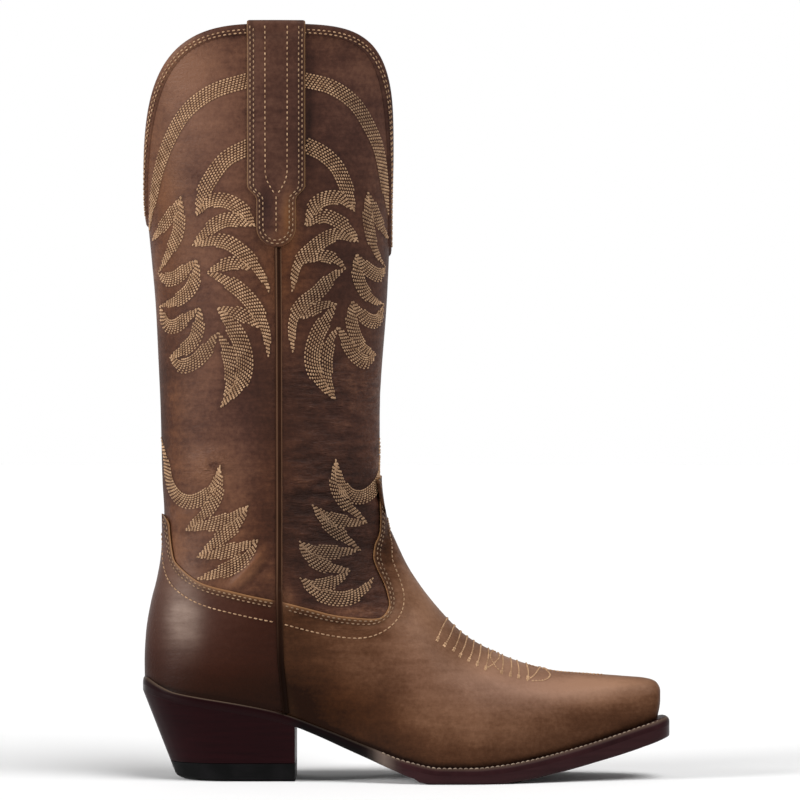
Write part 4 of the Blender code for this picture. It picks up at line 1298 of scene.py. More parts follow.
def make_pull_strap(name, side, leather):
    """Strap folded over the collar, with rounded edges."""
    across = np.linspace(-1.0, 1.0, STRAP_COLUMNS)
    across = across + STRAP_CROWDING * np.sin(math.pi * across)
    thick = (STRAP - STRAP_ROUND * near_rim(across, STRAP_ROUND_START) ** 2)[:, None]
    rows = strap_rows()
    targets = [(STRAP_MIDDLE + half * u, min(z, COLLAR_TOP)) for z, half, *_ in rows for u in across]
    places = to_side(find_on_skin(from_side, targets), side)
    shape = (len(rows), len(across), 3)
    bases, normals = skin(*places.T).reshape(shape), skin_normal(*places.T).reshape(shape)
    rings, sewn = [], []
    for (z, half, lift, out, high), base, normal in zip(rows, bases, normals):
        inner = base + normal * lift + UP * max(z - COLLAR_TOP, 0.0)
        outer = inner + (normal * out + UP * high) * thick
        rings.append(np.vstack((inner, outer[::-1])))
        inset = half * (1.0 - np.abs(across)) - np.mean(EDGE_ROWS)
        # painted shade along the strap's edge rows
        sewn.append(np.tile(bell(inset / STITCH_BAND), 2))
    worn = np.concatenate((np.zeros(len(across)), near_rim(across, STRAP_WEAR_START)[::-1]))
    values = plain_values(np.array(rings), edge=np.tile(worn, len(rows)), sewn=np.concatenate(sewn))
    piece = add_solid("pull_strap_leather_" + name, rings, leather, values)
    return stands_for(keep_sharp(piece, 50), "pull_strap_" + name)


# Sole and heel

def sole_stations(first=0.0):
    """Stations along the sole, closer at the toe and the heel's back."""
    steps = np.concatenate([np.arange(*run) for run in SOLE_RUNS])
    return steps[steps >= first - NEARLY]


def station_at_base(x):
    stations = np.linspace(0.0, HEEL_BACK_ROW, BASE_STEPS)
    return float(np.interp(-x, -section_at(stations)["base_x"], stations))


def feather_line(stations, side):
    """Plan points where the upper meets the sole on one side, and their outward normals."""
    points = skin(stations, side)[:, :2]
    run = (skin(stations - FEATHER_STEP, side) - skin(stations + FEATHER_STEP, side))[:, :2]
    normal = unit(np.stack((-run[:, 1], run[:, 0]), axis=1) * side)
    normal[stations <= 0.0] = (1.0, 0.0)
    normal[stations >= HEEL_BACK_ROW - NEARLY] = (-1.0, 0.0)
    return points, normal


def sole_outline(stations, side, inset=None):
    """Plan points of the sole's edge, or of a line a given way inside the feather line."""
    points, normal = feather_line(stations, side)
    out = sole_at(points[:, 0])["margin"] if inset is None else np.full(len(points), -inset)
    return points + normal * out[:, None]


def sole_edges(stations, inset=None):
    """Pairs of plan points of the sole's outer and inner edge."""
    return list(zip(sole_outline(stations, -1, inset), sole_outline(stations, 1, inset)))


def sole_under(x):
    """Height of the sole's underside, with the step where the half sole starts."""
    x = np.asarray(x, float)
    height = sole_at(x)["under"]
    height = np.where(x > HALF_SOLE_START, height - HALF_SOLE_STEP, height)
    flat = (x >= FLAT_START - 1.0) & (x <= FLAT_END + 1.0)
    return np.maximum(np.where(flat, 0.0, height), 0.0)


def outsole_top(x):
    return sole_top(x) - sole_at(x)["welt"] - SOLE_GAP


def waist_values(x):
    """Shader values of the sole's edge: dyed like the heel over it, darker along the waist with painted shade
    and dark dye, and a painted highlight with wear where the half sole starts."""
    waist = smooth_step((x - WAIST_START) / WAIST_START_RUN)
    waist = waist * (1.0 - smooth_step((x - WAIST_END) / WAIST_END_RUN))
    heel = 1.0 - smooth_step((x - HEEL_DYE_END) / HEEL_DYE_RUN)
    # waist: painted shade with dark dye; worn: a painted highlight with wear where the half sole starts
    return {"waist": waist, "worn": bell((x - HALF_SOLE_WEAR_AND_HIGHLIGHT) / HALF_SOLE_WEAR_AND_HIGHLIGHT_REACH), "heel": heel}


def welt_ring(outer, inner):
    """Ring round the welt at one station: over its rounded edge, down, and back along its inside."""
    way = unit(inner - outer)
    thick = float(sole_at(outer[0])["welt"])
    top, back_top = float(sole_top(outer[0])), float(sole_top(inner[0]))
    radius = WELT_ROUND * thick
    lip = WELT_LIP * float(smooth_step((WELT_LIP_START - outer[0]) / WELT_LIP_RUN))
    ring = []
    for turn in np.radians(WELT_TURNS):
        x, y = outer + way * radius * (1.0 - math.sin(turn))
        ring.append((x, y, top + lip * math.cos(turn) - radius * (1.0 - math.cos(turn))))
    return ring + [(*outer, top - thick - SOLE_GAP), (*inner, back_top - thick), (*inner, back_top)]


def make_welt(leather):
    """Strip all the way round between the upper and the sole, with a rounded upper edge that carries a
    painted highlight.
    """
    stations = sole_stations()
    edges = []
    for side, places in ((-1, stations[::-1]), (1, stations[1:-1])):
        edges += zip(sole_outline(places, side), sole_outline(places, side, WELT_INSIDE))
    points = np.array([welt_ring(outer, inner) for outer, inner in edges])
    faces = ring_faces(*points.shape[:2], wrap=True)
    # painted highlight along the welt's rounded upper edge, kept in its top value
    shine = np.interp([outer[0] for outer, inner in edges], *np.array(WELT_HIGHLIGHT).T)
    values = {"top": np.outer(shine, WELT_RING_HIGHLIGHT), **waist_values(points[..., 0])}
    piece = add_piece("welt_strip", points, faces, [leather], values, outward=True)
    return stands_for(keep_sharp(piece, 60), "welt")


def outsole_side(edge, other):
    """Points down one edge of the sole and a little way under it towards the other edge."""
    toward = other - edge
    reach = max(float(np.linalg.norm(toward)), TINY)
    low, top = float(sole_under(edge[0])), float(outsole_top(edge[0]))
    bevel = SOLE_BEVEL * float(smooth_step((edge[0] - HEEL_BREAST) / SOLE_BEVEL_RUN)) + SOLE_BEVEL_LEAST
    bevel = min(bevel, reach / 3)
    corner = bevel * SOLE_BEVEL_ROUND
    corners = (
        (0.0, top), (-SOLE_BULGE, (top + low) / 2), (0.0, low + bevel), (corner, low + corner),
        (bevel, low), (reach / 4, low),
    )
    return [(*(edge + toward / reach * min(inset, reach / 2)), z) for inset, z in corners]


def make_outsole(leather):
    """Leather sole with a rounded edge and the half sole's step."""
    beside_step = [station_at_base(HALF_SOLE_START + way) for way in (HALF_SOLE_RUN, -HALF_SOLE_RUN)]
    stations = np.sort(np.concatenate((sole_stations(), beside_step)))
    rings = [outsole_side(a, b) + outsole_side(b, a)[::-1] for a, b in sole_edges(stations)]
    values = waist_values(np.array(rings)[..., 0])
    piece = add_solid("outsole_leather", rings, leather, values)
    return stands_for(keep_sharp(piece, 45), "outsole")


def make_insole(leather):
    """Insole plate inside the welt, a little dished."""
    shares = np.linspace(0.0, 1.0, INSOLE_COLUMNS)
    dish = INSOLE_DISH * np.sin(shares * math.pi)
    rings = []
    for left, right in sole_edges(sole_stations(), INSOLE_INSIDE):
        plan = left + (right - left) * shares[:, None]
        top = np.column_stack((plan, sole_top(plan[:, 0]) + INSOLE_RISE - dish))
        under = np.column_stack((plan, outsole_top(plan[:, 0]) + GAP))
        rings.append(np.vstack((top, under[::-1])))
    piece = add_solid("insole_board", rings, leather)
    return stands_for(keep_sharp(piece, 50), "insole")


def heel_point(edge, level):
    """Plan point of the heel's side; level is 0 at the sole and 1 at the floor."""
    length = 1.0 + (HEEL_LENGTH_TAPER - 1.0) * level
    width = 1.0 + (HEEL_WIDTH_TAPER - 1.0) * level
    return HEEL_BREAST + (edge[0] - HEEL_BREAST) * length, edge[1] * width


def heel_edges():
    """Pairs of plan points of the sole's edges over the heel, the first at its breast."""
    breast = station_at_base(HEEL_BREAST)
    edges = sole_edges(np.concatenate(([breast], sole_stations(breast + HEEL_NEXT))))
    for edge in edges[0]:
        edge[0] = HEEL_BREAST
    return edges


def heel_ring(edges, heights):
    """Ring round the heel at one station: down the outer side and up the inner side. Heights gives the
    heights of its points below a top."""
    ring = []
    for edge, order in zip(edges, (1, -1)):
        top = float(sole_under(edge[0])) - CLOSE
        column = [(*heel_point(edge, 1.0 - z / top), z) for z in heights(top)]
        ring += column[::order]
    return ring


def make_heel(leather):
    """Stacked heel from the sole down to its rubber."""
    def heights(top):
        return np.linspace(top, HEEL_CAP_TOP + GAP, HEEL_ROWS)

    rings = [heel_ring(edges, heights) for edges in heel_edges()]
    piece = keep_sharp(add_solid("heel_stack", rings, leather), HEEL_SHARP)
    return stands_for(piece, "heel")


def tucked_under(x, y, z):
    """A point of the heel's rubber, drawn in where the rear and side edges are rounded under."""
    depth = max(HEEL_CAP_ROUND - z, 0.0) / HEEL_CAP_ROUND
    rear = min((HEEL_BREAST - x) / HEEL_CAP_TURN, 1.0)
    width = max(abs(y) - HEEL_CAP_SIDE_TUCK * depth ** 2, 0.0)
    return x + HEEL_CAP_TUCK * depth ** 2 * rear, math.copysign(width, y), z


def make_heel_cap(rubber):
    """Rubber top piece with its rear and side edges rounded under."""
    def heights(top):
        return HEEL_CAP_TOP, HEEL_CAP_TOP - 0.5, *np.linspace(HEEL_CAP_ROUND, 0.0, HEEL_CAP_ROWS)

    rings = [[tucked_under(*point) for point in heel_ring(edges, heights)] for edges in heel_edges()]
    piece = keep_sharp(add_solid("heel_rubber", rings, rubber), HEEL_SHARP)
    return stands_for(piece, "heel_cap")


# Stitching

def stitch_shape(sides=5):
    """One stitch along x: points with their way along, across and up in shares of length and thread."""
    rings = ((-0.4, 0.8, -0.15), (0.0, 1.0, 0.35), (0.4, 0.8, -0.15))
    points = [(-0.5, 0.0, -0.9)]
    for along, size, rise in rings:
        for turn in np.arange(sides) / sides * 2 * math.pi:
            points.append((along, size * math.cos(turn), rise + size * math.sin(turn)))
    points.append((0.5, 0.0, -0.9))
    last = len(points) - 1
    faces = [(0, 1 + (i + 1) % sides, 1 + i) for i in range(sides)]
    faces += [tuple(1 + face) for face in ring_faces(len(rings), sides)]
    faces += [(last, last - sides + i, last - sides + (i + 1) % sides) for i in range(sides)]
    return np.array(points), faces


def stitches_along(points, normals, pitch=STITCH_PITCH, length=STITCH, way=None, shift=0.0, dull=0.0):
    """Places, ways and normals of the stitches of one row, their lengths and how dull each is.

    Rows with a shared way keep in step; shift moves a row on by a share of the pitch.
    """
    if way is None:
        way = way_along(points)
    steps = np.arange(math.floor(way[0] / pitch) - 1, math.ceil(way[-1] / pitch) + 1)
    middles = (steps + 0.5 + shift) * pitch
    middles = middles[(middles > way[0]) & (middles < way[-1])]
    run = read_along(middles + 0.5, way, points) - read_along(middles - 0.5, way, points)
    frames = np.stack((read_along(middles, way, points), run, read_along(middles, way, normals)), axis=1)
    return frames, np.full(len(middles), length), np.full(len(middles), dull)


def sew(name, rows, thread, size=THREAD):
    """One piece from rows of stitches, as stitches_along gives them; size is half a stitch's width."""
    frames, lengths, dull = (np.concatenate(column) for column in zip(*rows))
    middle, run, normal = frames[:, 0], unit(frames[:, 1]), unit(frames[:, 2])
    aside = np.cross(normal, run)
    shape, shape_faces = stitch_shape()
    points = (
        middle[:, None]
        + run[:, None] * shape[None, :, :1] * lengths[:, None, None]
        + aside[:, None] * shape[None, :, 1:2] * size
        + normal[:, None] * shape[None, :, 2:] * THREAD
    )
    firsts = range(0, len(middle) * len(shape), len(shape))
    faces = [tuple(first + k for k in face) for first in firsts for face in shape_faces]
    # painted shade on the thread from its table, plus each row's dullness
    dim = patches(points.reshape(-1, 3), THREAD_SHADE) + np.repeat(dull, len(shape))
    return add_piece(name, points, faces, [thread], {"dim": dim})


def sewn_row(places, side, lift, **sewing):
    """Stitches of a line on the leather; side is -1 outer and 1 inner."""
    places = to_side(places, side)
    points = leather_points(*places.T, lift + STITCH_LIFT)
    return stitches_along(points, skin_normal(*places.T), **sewing)


def flame_rows(width, first, last, pixels):
    """Lines of one flame, each with its way: rows side by side that draw together and end one by one
    towards the tips, with stitches in slanted ribs."""
    places = photo_line(pixels, FINE_SPACING)
    way = way_along(skin(*places.T))
    share = np.linspace(0.0, 1.0, len(places))
    swell = np.minimum(share / max(first, NEARLY) + (first == 0.0), (1.0 - share) / last)
    swell = np.sin(np.minimum(swell, 1.0) * math.pi / 2)
    draw = FLAME_DRAW + (1.0 - FLAME_DRAW) * swell
    rows = []
    for place in np.linspace(-0.5, 0.5, int(round(width / ROW_GAP)) + 1):
        keep = abs(place) * draw <= 0.5 * swell + FLAME_TIP
        if keep.sum() > 3:
            aside = place * width * draw
            rows.append((moved_aside(places, aside)[keep], (way + FLAME_SLANT * aside)[keep]))
    return rows


def flame_lines():
    return [row for width, first, last, *pixels in FLAMES for row in flame_rows(width, first, last, pixels)]


def thinned(rows, apart):
    """One row of all stitches, without those that would lie on an earlier one."""
    stitches = [np.concatenate(column) for column in zip(*rows)]
    middles = stitches[0][:, 0]
    tree = tree_of(middles)
    kept = np.ones(len(middles), bool)
    for i, middle in enumerate(middles):
        kept[i] = not any(j < i and kept[j] for _, j, _ in tree.find_range(middle, apart))
    return [[column[kept] for column in stitches]]


def make_flames(name, side, thread):
    """Flame stitching of one side of the shaft."""
    sewing = {"pitch": FLAME_PITCH, "length": FLAME_STITCH}
    rows = [sewn_row(line, side, 0.0, way=way, **sewing) for line, way in FLAME_LINES]
    return sew("flame_stitching_" + name, thinned(rows, FLAME_APART), thread, FLAME_THREAD)


def panel_row(edge, way, inset):
    """Line along a panel's upper edge, a given way inside it, ending beside the side seam."""
    points = skin(*edge.T)
    from_corner = np.linalg.norm(from_side(points) - (seam_x(SEAM_JOIN), SEAM_JOIN), axis=1)
    line = points[int(np.argmin(from_corner)) + ROW_SKIP:-1]
    past_seam = line[0] + (line[0] - line[ROW_RUN]) * ROW_PAST_SEAM[:, None]
    places = find_on_skin(in_space, np.vstack((past_seam, line)))
    places = moved_aside(places, way * inset)
    line = skin(*places.T)
    for _ in range(ROW_EASE + int(inset * ROW_EASE_INSIDE)):
        line[1:-1] += 0.5 * ((line[:-2] + line[2:]) / 2 - line[1:-1])
    places = find_on_skin(in_space, line, places)
    beside_seam = (line[:, 0] - seam_x(line[:, 2])) * way > SEAM_WIDTH / 2 + ROW_FROM_SEAM
    off_middle = np.abs(line[:, 1]) > ROW_FROM_MIDDLE
    return places[beside_seam & off_middle]


def panel_rows(inset):
    """Lines a given way inside the upper edges of the vamp and the counter."""
    return [panel_row(edge, way, inset) for edge, way in ((vamp_edge(), 1.0), (counter_edge(), -1.0))]


def make_panel_stitches(name, side, thread):
    """Double rows along the upper edges of the vamp and the counter, and one row further in."""
    rows = []
    for shift, lines in zip((0.0, 0.5), EDGE_LINES):
        rows += [sewn_row(line, side, PANEL_LIFT, shift=shift, dull=EDGE_DULL) for line in lines]
    rows += [sewn_row(line, side, PANEL_LIFT, length=FAR_STITCH, dull=ROW_DULL) for line in FAR_LINES]
    return sew("panel_stitching_" + name, rows, thread)


def make_collar_stitches(thread):
    """Double row through the collar's binding."""
    places = collar_places(np.linspace(-COLLAR_LINE_END, COLLAR_LINE_END, COLLAR_LINE_POINTS))
    points, normal = skin(*places), skin_normal(*places)
    aside = unit(np.cross(np.gradient(points, axis=0), normal))
    halfway_round_one_side = len(aside) // 4
    aside *= -np.sign(aside[halfway_round_one_side, 2])
    on_binding = points + normal * (GAP + BINDING + COLLAR_STITCH_LIFT)
    rows = []
    for inset, shift in zip(COLLAR_ROWS, (0.0, 0.5)):
        rows.append(stitches_along(on_binding + aside * inset, normal, shift=shift, dull=ROW_DULL))
    return sew("collar_stitching", rows, thread)


def strap_stitch_lines():
    """Side view lines of the strap's stitch rows: two round its edge, then those on its middle."""
    tail = STRAP_TAIL_WIDTH / 2
    top = COLLAR_TOP - 0.5
    lines = []
    for inset in EDGE_ROWS:
        heights = np.linspace(top, STRAP_TIP + tail, STRAP_LINE_POINTS)
        down = [(STRAP_MIDDLE - float(strap_half(z)) + inset, z) for z in heights]
        radius = tail - inset
        turns = np.linspace(0.0, math.pi, STRAP_TURN_POINTS)
        tip = [(STRAP_MIDDLE - radius * math.cos(t), STRAP_TIP + tail - radius * math.sin(t)) for t in turns]
        up = [(2 * STRAP_MIDDLE - x, z) for x, z in reversed(down)]
        lines.append(down + tip[1:-1] + up)
    for way in (-1, 1):
        lines.append([(STRAP_MIDDLE + way * out, z) for out, z in ((STRAP_ROW[0][0], top), *STRAP_ROW)])
    lines.append([(STRAP_MIDDLE, z) for z in STRAP_TAIL_ROW])
    return lines


def make_strap_stitches(name, side, thread):
    """Rows of stitches on the outer leg of one strap."""
    rows = []
    for i, line in enumerate(strap_stitch_lines()):
        on_edge = i < len(EDGE_ROWS)
        sewing = {"shift": 0.5 * i, "dull": EDGE_DULL} if on_edge else {"dull": ROW_DULL}
        places = to_side(find_on_skin(from_side, evenly(np.array(line), STRAP_SPACING)), side)
        lift = strap_lift(skin(*places.T)[:, 2]) + STRAP + STITCH_LIFT
        rows.append(stitches_along(lifted(*places.T, lift), skin_normal(*places.T), **sewing))
    return sew("strap_stitching_" + name, rows, thread)


def make_toe_stitches(thread):
    """Lines over the toe's ridge and two loops, on both sides."""
    lines = [photo_line(pixels, FINE_SPACING) for pixels in (*TOE_LINES, *TOE_LOOPS)]
    sewing = {"pitch": TOE_PITCH, "length": TOE_STITCH}
    rows = []
    for side in (-1, 1):
        for line in lines:
            rows.append(sewn_row(line, side, PANEL_LIFT, **sewing))
        for line in lines[:len(TOE_LINES)]:
            for aside in (-TOE_KNOT, TOE_KNOT):
                rows.append(sewn_row(moved_aside(line[-TOE_KNOT_POINTS:], aside), side, PANEL_LIFT, **sewing))
    ridge = photo_line(TOE_RIDGE, FINE_SPACING)
    ridge[:, 1] = TOE_RIDGE_AROUND
    rows.append(sewn_row(ridge, -1, PANEL_LIFT + TOE_RIDGE_LIFT, **sewing))
    return sew("toe_stitching", rows, thread, TOE_THREAD)


def make_welt_stitches(thread):
    """Row of stitches on the welt, from the waist round the toe."""
    stations = np.linspace(0.0, WELT_ROW_END, WELT_ROW_POINTS)
    rows = []
    for side in (-1, 1):
        outer, inner = sole_outline(stations, side), sole_outline(stations, side, 0.0)
        plan = inner + (outer - inner) * WELT_ROW
        points = np.column_stack((plan, sole_top(plan[:, 0]) + WELT_STITCH_LIFT))
        rows.append(stitches_along(points, np.tile(UP, (len(points), 1)), WELT_PITCH, WELT_STITCH))
    return sew("welt_stitching", rows, thread)


# Materials

def colour(code):
    """Linear colour from a hexadecimal one."""
    parts = [int(code[i:i + 2], 16) / 255 for i in (1, 3, 5)]
    linear = [part / 12.92 if part <= 0.04045 else ((part + 0.055) / 1.055) ** 2.4 for part in parts]
    return (*linear, 1.0)


class Nodes:
    """A tree of shader nodes, and the few kinds of node that number values need."""

    def __init__(self, tree):
        self.tree = tree

    def put(self, socket, value):
        if isinstance(value, bpy.types.NodeSocket):
            self.tree.links.new(value, socket)
        else:
            socket.default_value = value

    def fill(self, node, **values):
        """Sets inputs of a node by their names, with _ for a space."""
        for key, value in values.items():
            self.put(node.inputs[key.replace("_", " ")], value)

    def node(self, kind, **values):
        node = self.tree.nodes.new("ShaderNode" + kind)
        self.fill(node, **values)
        return node

    def math(self, operation, *values):
        node = self.node("Math")
        node.operation = operation
        for socket, value in zip(node.inputs, values):
            self.put(socket, value)
        return node.outputs[0]

    def add(self, first, second):
        return self.math("ADD", first, second)

    def times(self, first, second):
        return self.math("MULTIPLY", first, second)

    def span(self, value, low, high, to_low=0.0, to_high=1.0, shape="LINEAR"):
        node = self.node("MapRange", Value=value)
        node.interpolation_type = shape
        self.fill(node, From_Min=low, From_Max=high, To_Min=to_low, To_Max=to_high)
        return node.outputs["Result"]


class Shader(Nodes):
    """A material and the kinds of node that its colours and bumps need."""

    def __init__(self, name):
        self.material = bpy.data.materials.new(name)
        self.material.use_nodes = True
        super().__init__(self.material.node_tree)
        self.surface = self.tree.nodes["Principled BSDF"]
        self.place = self.node("TexCoord").outputs["Object"]

    def finish(self, **values):
        """Sets inputs of the surface and gives the material."""
        self.fill(self.surface, **values)
        return self.material

    def noise(self, scale, detail=4.0, rough=0.55, stretch=None):
        place = self.place
        if stretch:
            place = self.node("Mapping", Vector=place, Scale=stretch).outputs["Vector"]
        node = self.node("TexNoise", Vector=place, Scale=scale, Detail=detail, Roughness=rough)
        return node.outputs["Fac"]

    def cells(self, scale):
        node = self.node("TexVoronoi", Vector=self.place)
        node.feature = "SMOOTH_F1"
        self.fill(node, Scale=scale)
        return node.outputs["Distance"]

    def value(self, name):
        """A value that the mesh carries, or 0 where it has none of that name."""
        node = self.node("Attribute")
        node.attribute_name = name
        return node.outputs["Fac"]

    def mix(self, share, first, second, kind="MIX"):
        node = self.node("Mix")
        node.data_type = "RGBA"
        node.blend_type = kind
        for place, value in ((0, share), (6, first), (7, second)):
            self.put(node.inputs[place], value)
        return node.outputs[2]

    def tint(self, base, name, code, most=1.0):
        """A colour mixed in by a value of the mesh, at most by a given share."""
        return self.mix(self.span(self.value(name), 0.0, 1.0, 0.0, most), base, colour(code))

    def spread(self, texture, low, high, reach=0.2):
        """A noise's values within a reach of their middle, brought to a range from low to high."""
        return self.span(texture, 0.5 - reach, 0.5 + reach, low, high)

    def mottled(self, texture, first, second):
        """Two colours, mixed by a noise."""
        return self.mix(self.spread(texture, 0.0, 1.0), colour(first), colour(second))

    def ramp(self, value, stops):
        node = self.node("ValToRGB", Fac=value)
        node.color_ramp.interpolation = "CARDINAL"
        elements = node.color_ramp.elements
        while len(elements) < len(stops):
            elements.new(0.5)
        for element, (place, code) in zip(elements, stops):
            element.position = place
            element.color = colour(code)
        return node.outputs["Color"]

    def bump(self, height, distance, strength, **under):
        node = self.node("Bump", Height=height, Distance=distance * MM, Strength=strength, **under)
        return node.outputs["Normal"]


def make_leather(name):
    """Distressed leather: cloudy colour, painted light and shade, shaded stitch bands, a painted highlight,
    worn edges, grain, wrinkles.
    """
    look = dict(zip(LEATHER_COLUMNS, LEATHERS[name]))
    shader = Shader(name + "_leather_look")
    clouds = shader.noise(11.0, detail=5.0, rough=0.6)
    blots = shader.noise(46.0, detail=5.0, rough=0.62)
    specks = shader.noise(420.0, detail=3.0, rough=0.6)
    streaks = shader.noise(130.0, rough=0.65, stretch=(0.3, 0.3, 1.6))
    folds = shader.noise(110.0, rough=0.62, stretch=(0.55, 0.55, 1.9))
    coarse = look["blotched"]
    fine = 0.02 + 0.55 * coarse
    tone = shader.spread(clouds, 0.25 - coarse, 0.25 + coarse)
    for texture, middle, swing in ((blots, 0.18, 0.7 * coarse), (specks, 0.08, fine), (streaks, 0.0, fine)):
        tone = shader.add(tone, shader.spread(texture, middle - swing, middle + swing, reach=0.25))
    wrinkles = shader.value("crinkle")
    # painted light and shade of the fine wrinkles, over their bump
    tone = shader.add(tone, shader.times(shader.spread(folds, -0.3, 0.3), wrinkles))
    # the leather's tone with its painted light and shade
    tone = shader.add(tone, shader.value("light_and_tone"))
    base = shader.ramp(tone, ((0.0, look["dark"]), (0.5, look["middle"]), (1.0, look["light"])))
    warm = shader.value("warm")
    base = shader.mix(shader.span(warm, 0.0, 1.0), base, TANNED, "MULTIPLY")
    base = shader.mix(shader.span(warm, 0.0, -1.0), base, PLUM, "MULTIPLY")
    # painted shade in the stitched bands
    base = shader.tint(base, "sewn", look["dark"], 0.42)
    base = shader.tint(base, "edge", look["worn"], 0.7)
    # painted highlight on the counter, broken up by noise
    highlight_mottle = shader.add(shader.spread(blots, 0.55, 1.2), shader.spread(streaks, -0.2, 0.3))
    base = shader.mix(shader.times(highlight_mottle, shader.value("counter_highlight")), base, colour(COUNTER_HIGHLIGHT_COLOUR))
    grain = shader.add(shader.cells(820.0), shader.times(shader.noise(1500.0, detail=2.0), 0.6))
    normal = shader.bump(shader.times(folds, wrinkles), 6.0, 1.0)
    normal = shader.bump(grain, 0.2, 0.6, Normal=normal)
    gloss = shader.span(tone, 0.0, 1.0, look["roughness"] + 0.1, look["roughness"] - 0.08)
    return shader.finish(
        Base_Color=base, Roughness=gloss, Normal=normal, Specular_IOR_Level=look["shine"],
    )


def make_piping():
    """Piping of the side seams: dark leather with painted highlights on its crests."""
    shader = Shader("piping_leather_look")
    base = shader.mottled(shader.noise(60.0, detail=5.0, rough=0.6), PIPING_LIGHT, PIPING_DARK)
    # painted highlights on the crests
    base = shader.tint(base, "piping_highlight", PIPING_HIGHLIGHT)
    base = shader.tint(base, "low", PIPING_LOW)
    normal = shader.bump(shader.noise(1300.0, detail=2.0), 0.12, 0.5)
    return shader.finish(Base_Color=base, Roughness=0.5, Normal=normal, Specular_IOR_Level=0.04)


def make_thread(name, dark, light, dim):
    """Twisted thread, darkened by painted shade where light falls off, and on duller rows."""
    shader = Shader(name)
    base = shader.ramp(shader.noise(240.0, detail=3.0), ((0.3, dark), (0.7, light)))
    base = shader.tint(base, "dim", dim, 0.72)
    normal = shader.bump(shader.noise(3200.0, detail=1.0), 0.1, 0.5)
    return shader.finish(Base_Color=base, Roughness=0.62, Normal=normal)


def make_lining():
    """Smooth pale lining leather."""
    shader = Shader("lining_leather")
    base = shader.mottled(shader.noise(30.0, detail=6.0, rough=0.6), *LINING_COLOURS)
    return shader.finish(Base_Color=base, Roughness=0.7, Normal=shader.bump(shader.cells(900.0), 0.1, 0.3))


def make_edge_leather(name):
    """Dyed and polished sole leather, with fine layers along its edge, painted shade and dye along the waist,
    and a painted highlight with wear where the half sole starts.
    """
    look = dict(zip(EDGE_COLUMNS, EDGE_LEATHERS[name]))
    shader = Shader(name + "_leather_look")
    lines = shader.noise(60.0, detail=5.0, rough=0.6, stretch=(0.5, 0.5, look["layers"]))
    clouds = shader.noise(35.0)
    tone = shader.add(shader.spread(lines, 0.0, 0.7), shader.spread(clouds, 0.0, 0.3))
    base = shader.mix(tone, colour(look["dark"]), colour(look["light"]))
    base = shader.tint(base, "heel", HEEL_DYE)
    # painted shade along the waist, with dark dye
    base = shader.tint(base, "waist", WAIST_SHADE_AND_DYE, 0.95)
    # painted highlight with wear where the half sole starts
    base = shader.tint(base, "worn", WEAR_AND_HIGHLIGHT_COLOUR, 0.5)
    return shader.finish(
        Base_Color=base, Roughness=look["roughness"], Normal=shader.bump(lines, 0.2, 0.25),
        Specular_IOR_Level=look["shine"],
    )


def make_welt_leather():
    """Welt: dark dyed edge with a painted highlight on its rounded upper edge."""
    shader = Shader("welt_leather_edge")
    lines = shader.noise(70.0, detail=5.0, rough=0.6)
    base = shader.mottled(lines, WELT_DARK, WELT_LIGHT)
    base = shader.tint(base, "heel", HEEL_DYE)
    # painted shade along the waist, with dark dye
    base = shader.tint(base, "waist", WAIST_SHADE_AND_DYE, 0.85)
    # painted highlight on the rounded upper edge
    base = shader.tint(base, "top", WELT_HIGHLIGHT_COLOUR)
    # painted highlight with wear where the half sole starts
    base = shader.tint(base, "worn", WEAR_AND_HIGHLIGHT_COLOUR, 0.5)
    normal = shader.bump(lines, 0.2, 0.3)
    return shader.finish(Base_Color=base, Roughness=0.45, Normal=normal, Specular_IOR_Level=0.04)


def make_rubber():
    """Black rubber with a fine moulded texture."""
    shader = Shader("black_rubber")
    base = shader.mottled(shader.noise(90.0, detail=5.0), *RUBBER_COLOURS)
    normal = shader.bump(shader.noise(900.0, detail=3.0), 0.12, 0.5)
    return shader.finish(Base_Color=base, Roughness=0.55, Normal=normal, Specular_IOR_Level=0.06)


# Floor, light and camera

def make_floor():
    work = bmesh.new()
    bmesh.ops.create_grid(work, x_segments=8, y_segments=8, size=FLOOR_REACH)
    mesh = bpy.data.meshes.new("floor")
    work.to_mesh(mesh)
    work.free()
    shader = Shader("pale_floor")
    first, second = FLOOR_COLOURS
    base = shader.mix(shader.noise(2.0, detail=2.0), colour(first), colour(second))
    mesh.materials.append(shader.finish(Base_Color=base, Roughness=0.9))
    floor = bpy.data.objects.new("floor", mesh)
    floor.location.z = -FLOOR_DROP * MM
    bpy.context.scene.collection.objects.link(floor)


def make_light(name, direction, strength, softness):
    """Large soft studio light that shines from a direction, given towards the light."""
    lamp = bpy.data.lights.new(name, "SUN")
    lamp.energy = strength
    lamp.angle = math.radians(softness)
    light = bpy.data.objects.new(name, lamp)
    x, y, z = direction
    light.rotation_euler = (math.atan2(math.hypot(x, y), z), 0.0, math.atan2(x, -y))
    bpy.context.scene.collection.objects.link(light)


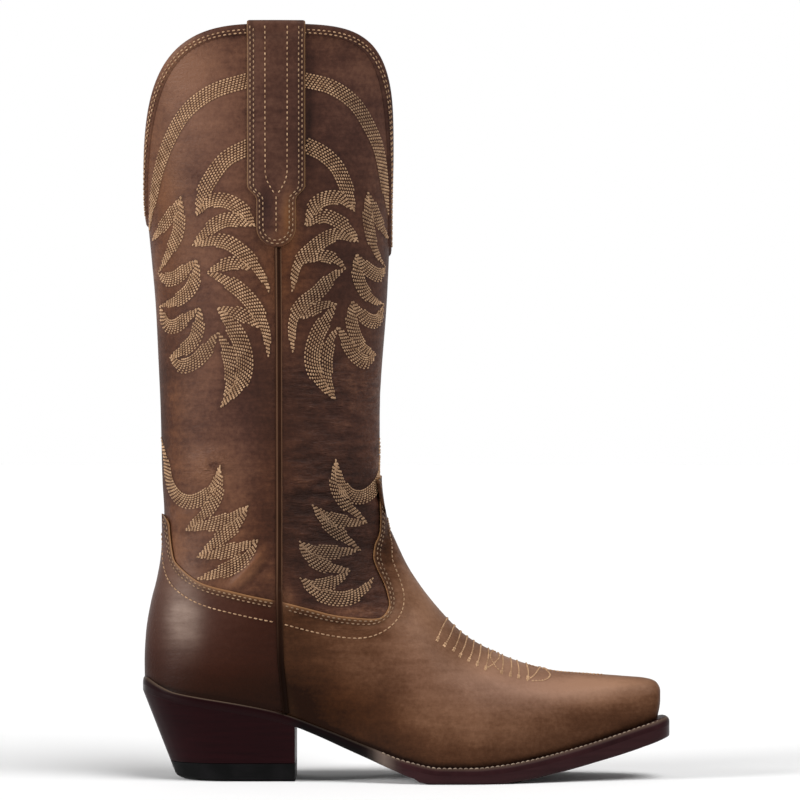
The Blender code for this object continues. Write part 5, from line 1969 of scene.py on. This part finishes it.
def make_world():
    """Studio walls: white at eye level behind the boot, greyer above and on the camera's side."""
    world = bpy.data.worlds.new("studio")
    world.use_nodes = True
    nodes = Nodes(world.node_tree)
    axes = nodes.node("SeparateXYZ", Vector=nodes.node("TexCoord").outputs["Generated"])
    level = nodes.math("ABSOLUTE", axes.outputs["Z"])
    band = nodes.span(level, low=0.14, high=0.45, to_low=1.0, to_high=0.3, shape="SMOOTHSTEP")
    behind = nodes.span(axes.outputs["Y"], low=-0.6, high=0.8, to_low=0.4, to_high=1.0)
    background = world.node_tree.nodes["Background"]
    nodes.fill(background, Color=(1.0, 1.0, 1.0, 1.0), Strength=nodes.times(band, behind))
    bpy.context.scene.world = world


def make_camera():
    lens = bpy.data.cameras.new("photo_camera")
    lens.sensor_width = SENSOR
    lens.lens = SENSOR * CAMERA_DISTANCE / (PIXEL * PICTURE)
    lens.clip_end = CAMERA_FAR
    camera = bpy.data.objects.new("photo_camera", lens)
    camera.location = (CAMERA_X * MM, -CAMERA_DISTANCE * MM, CAMERA_HEIGHT * MM)
    camera.rotation_euler = (math.pi / 2, 0.0, 0.0)
    bpy.context.scene.collection.objects.link(camera)
    bpy.context.scene.camera = camera


def dress_stage():
    make_floor()
    make_world()
    for light in LIGHTS:
        make_light(*light)
    make_camera()
    bpy.context.scene.view_settings.view_transform = "Standard"


def dress_boot():
    shaft = make_leather("shaft")
    foot = make_leather("foot")
    counter = make_leather("counter")
    strap = make_leather("strap")
    piping = make_piping()
    thread = make_thread("tan_thread", *TAN_THREAD)
    edge_thread = make_thread("sole_thread", *SOLE_THREAD)
    make_upper(shaft, make_lining())
    make_vamp(foot)
    make_counter(counter)
    make_binding(shaft)
    make_insole(make_edge_leather("insole"))
    make_welt(make_welt_leather())
    make_outsole(make_edge_leather("sole"))
    make_heel(make_edge_leather("heel"))
    make_heel_cap(make_rubber())
    for name, side in (("outer", -1), ("inner", 1)):
        make_side_seam(name, side, piping)
        make_pull_strap(name, side, strap)
        make_flames(name, side, thread)
        make_panel_stitches(name, side, thread)
        make_strap_stitches(name, side, thread)
    make_collar_stitches(thread)
    make_toe_stitches(thread)
    make_welt_stitches(edge_thread)


# Lines that several pieces share
CREASE_LINES = crease_lines()
FLAME_LINES = flame_lines()
EDGE_LINES = [panel_rows(inset) for inset in EDGE_ROWS]
FAR_LINES = panel_rows(FAR_ROW)
STITCH_BANDS = np.vstack(
    [skin(*line.T) for line, way in FLAME_LINES]
    + [lifted(*line.T, PANEL_LIFT) for lines in EDGE_LINES for line in lines]
)

dress_boot()
dress_stage()
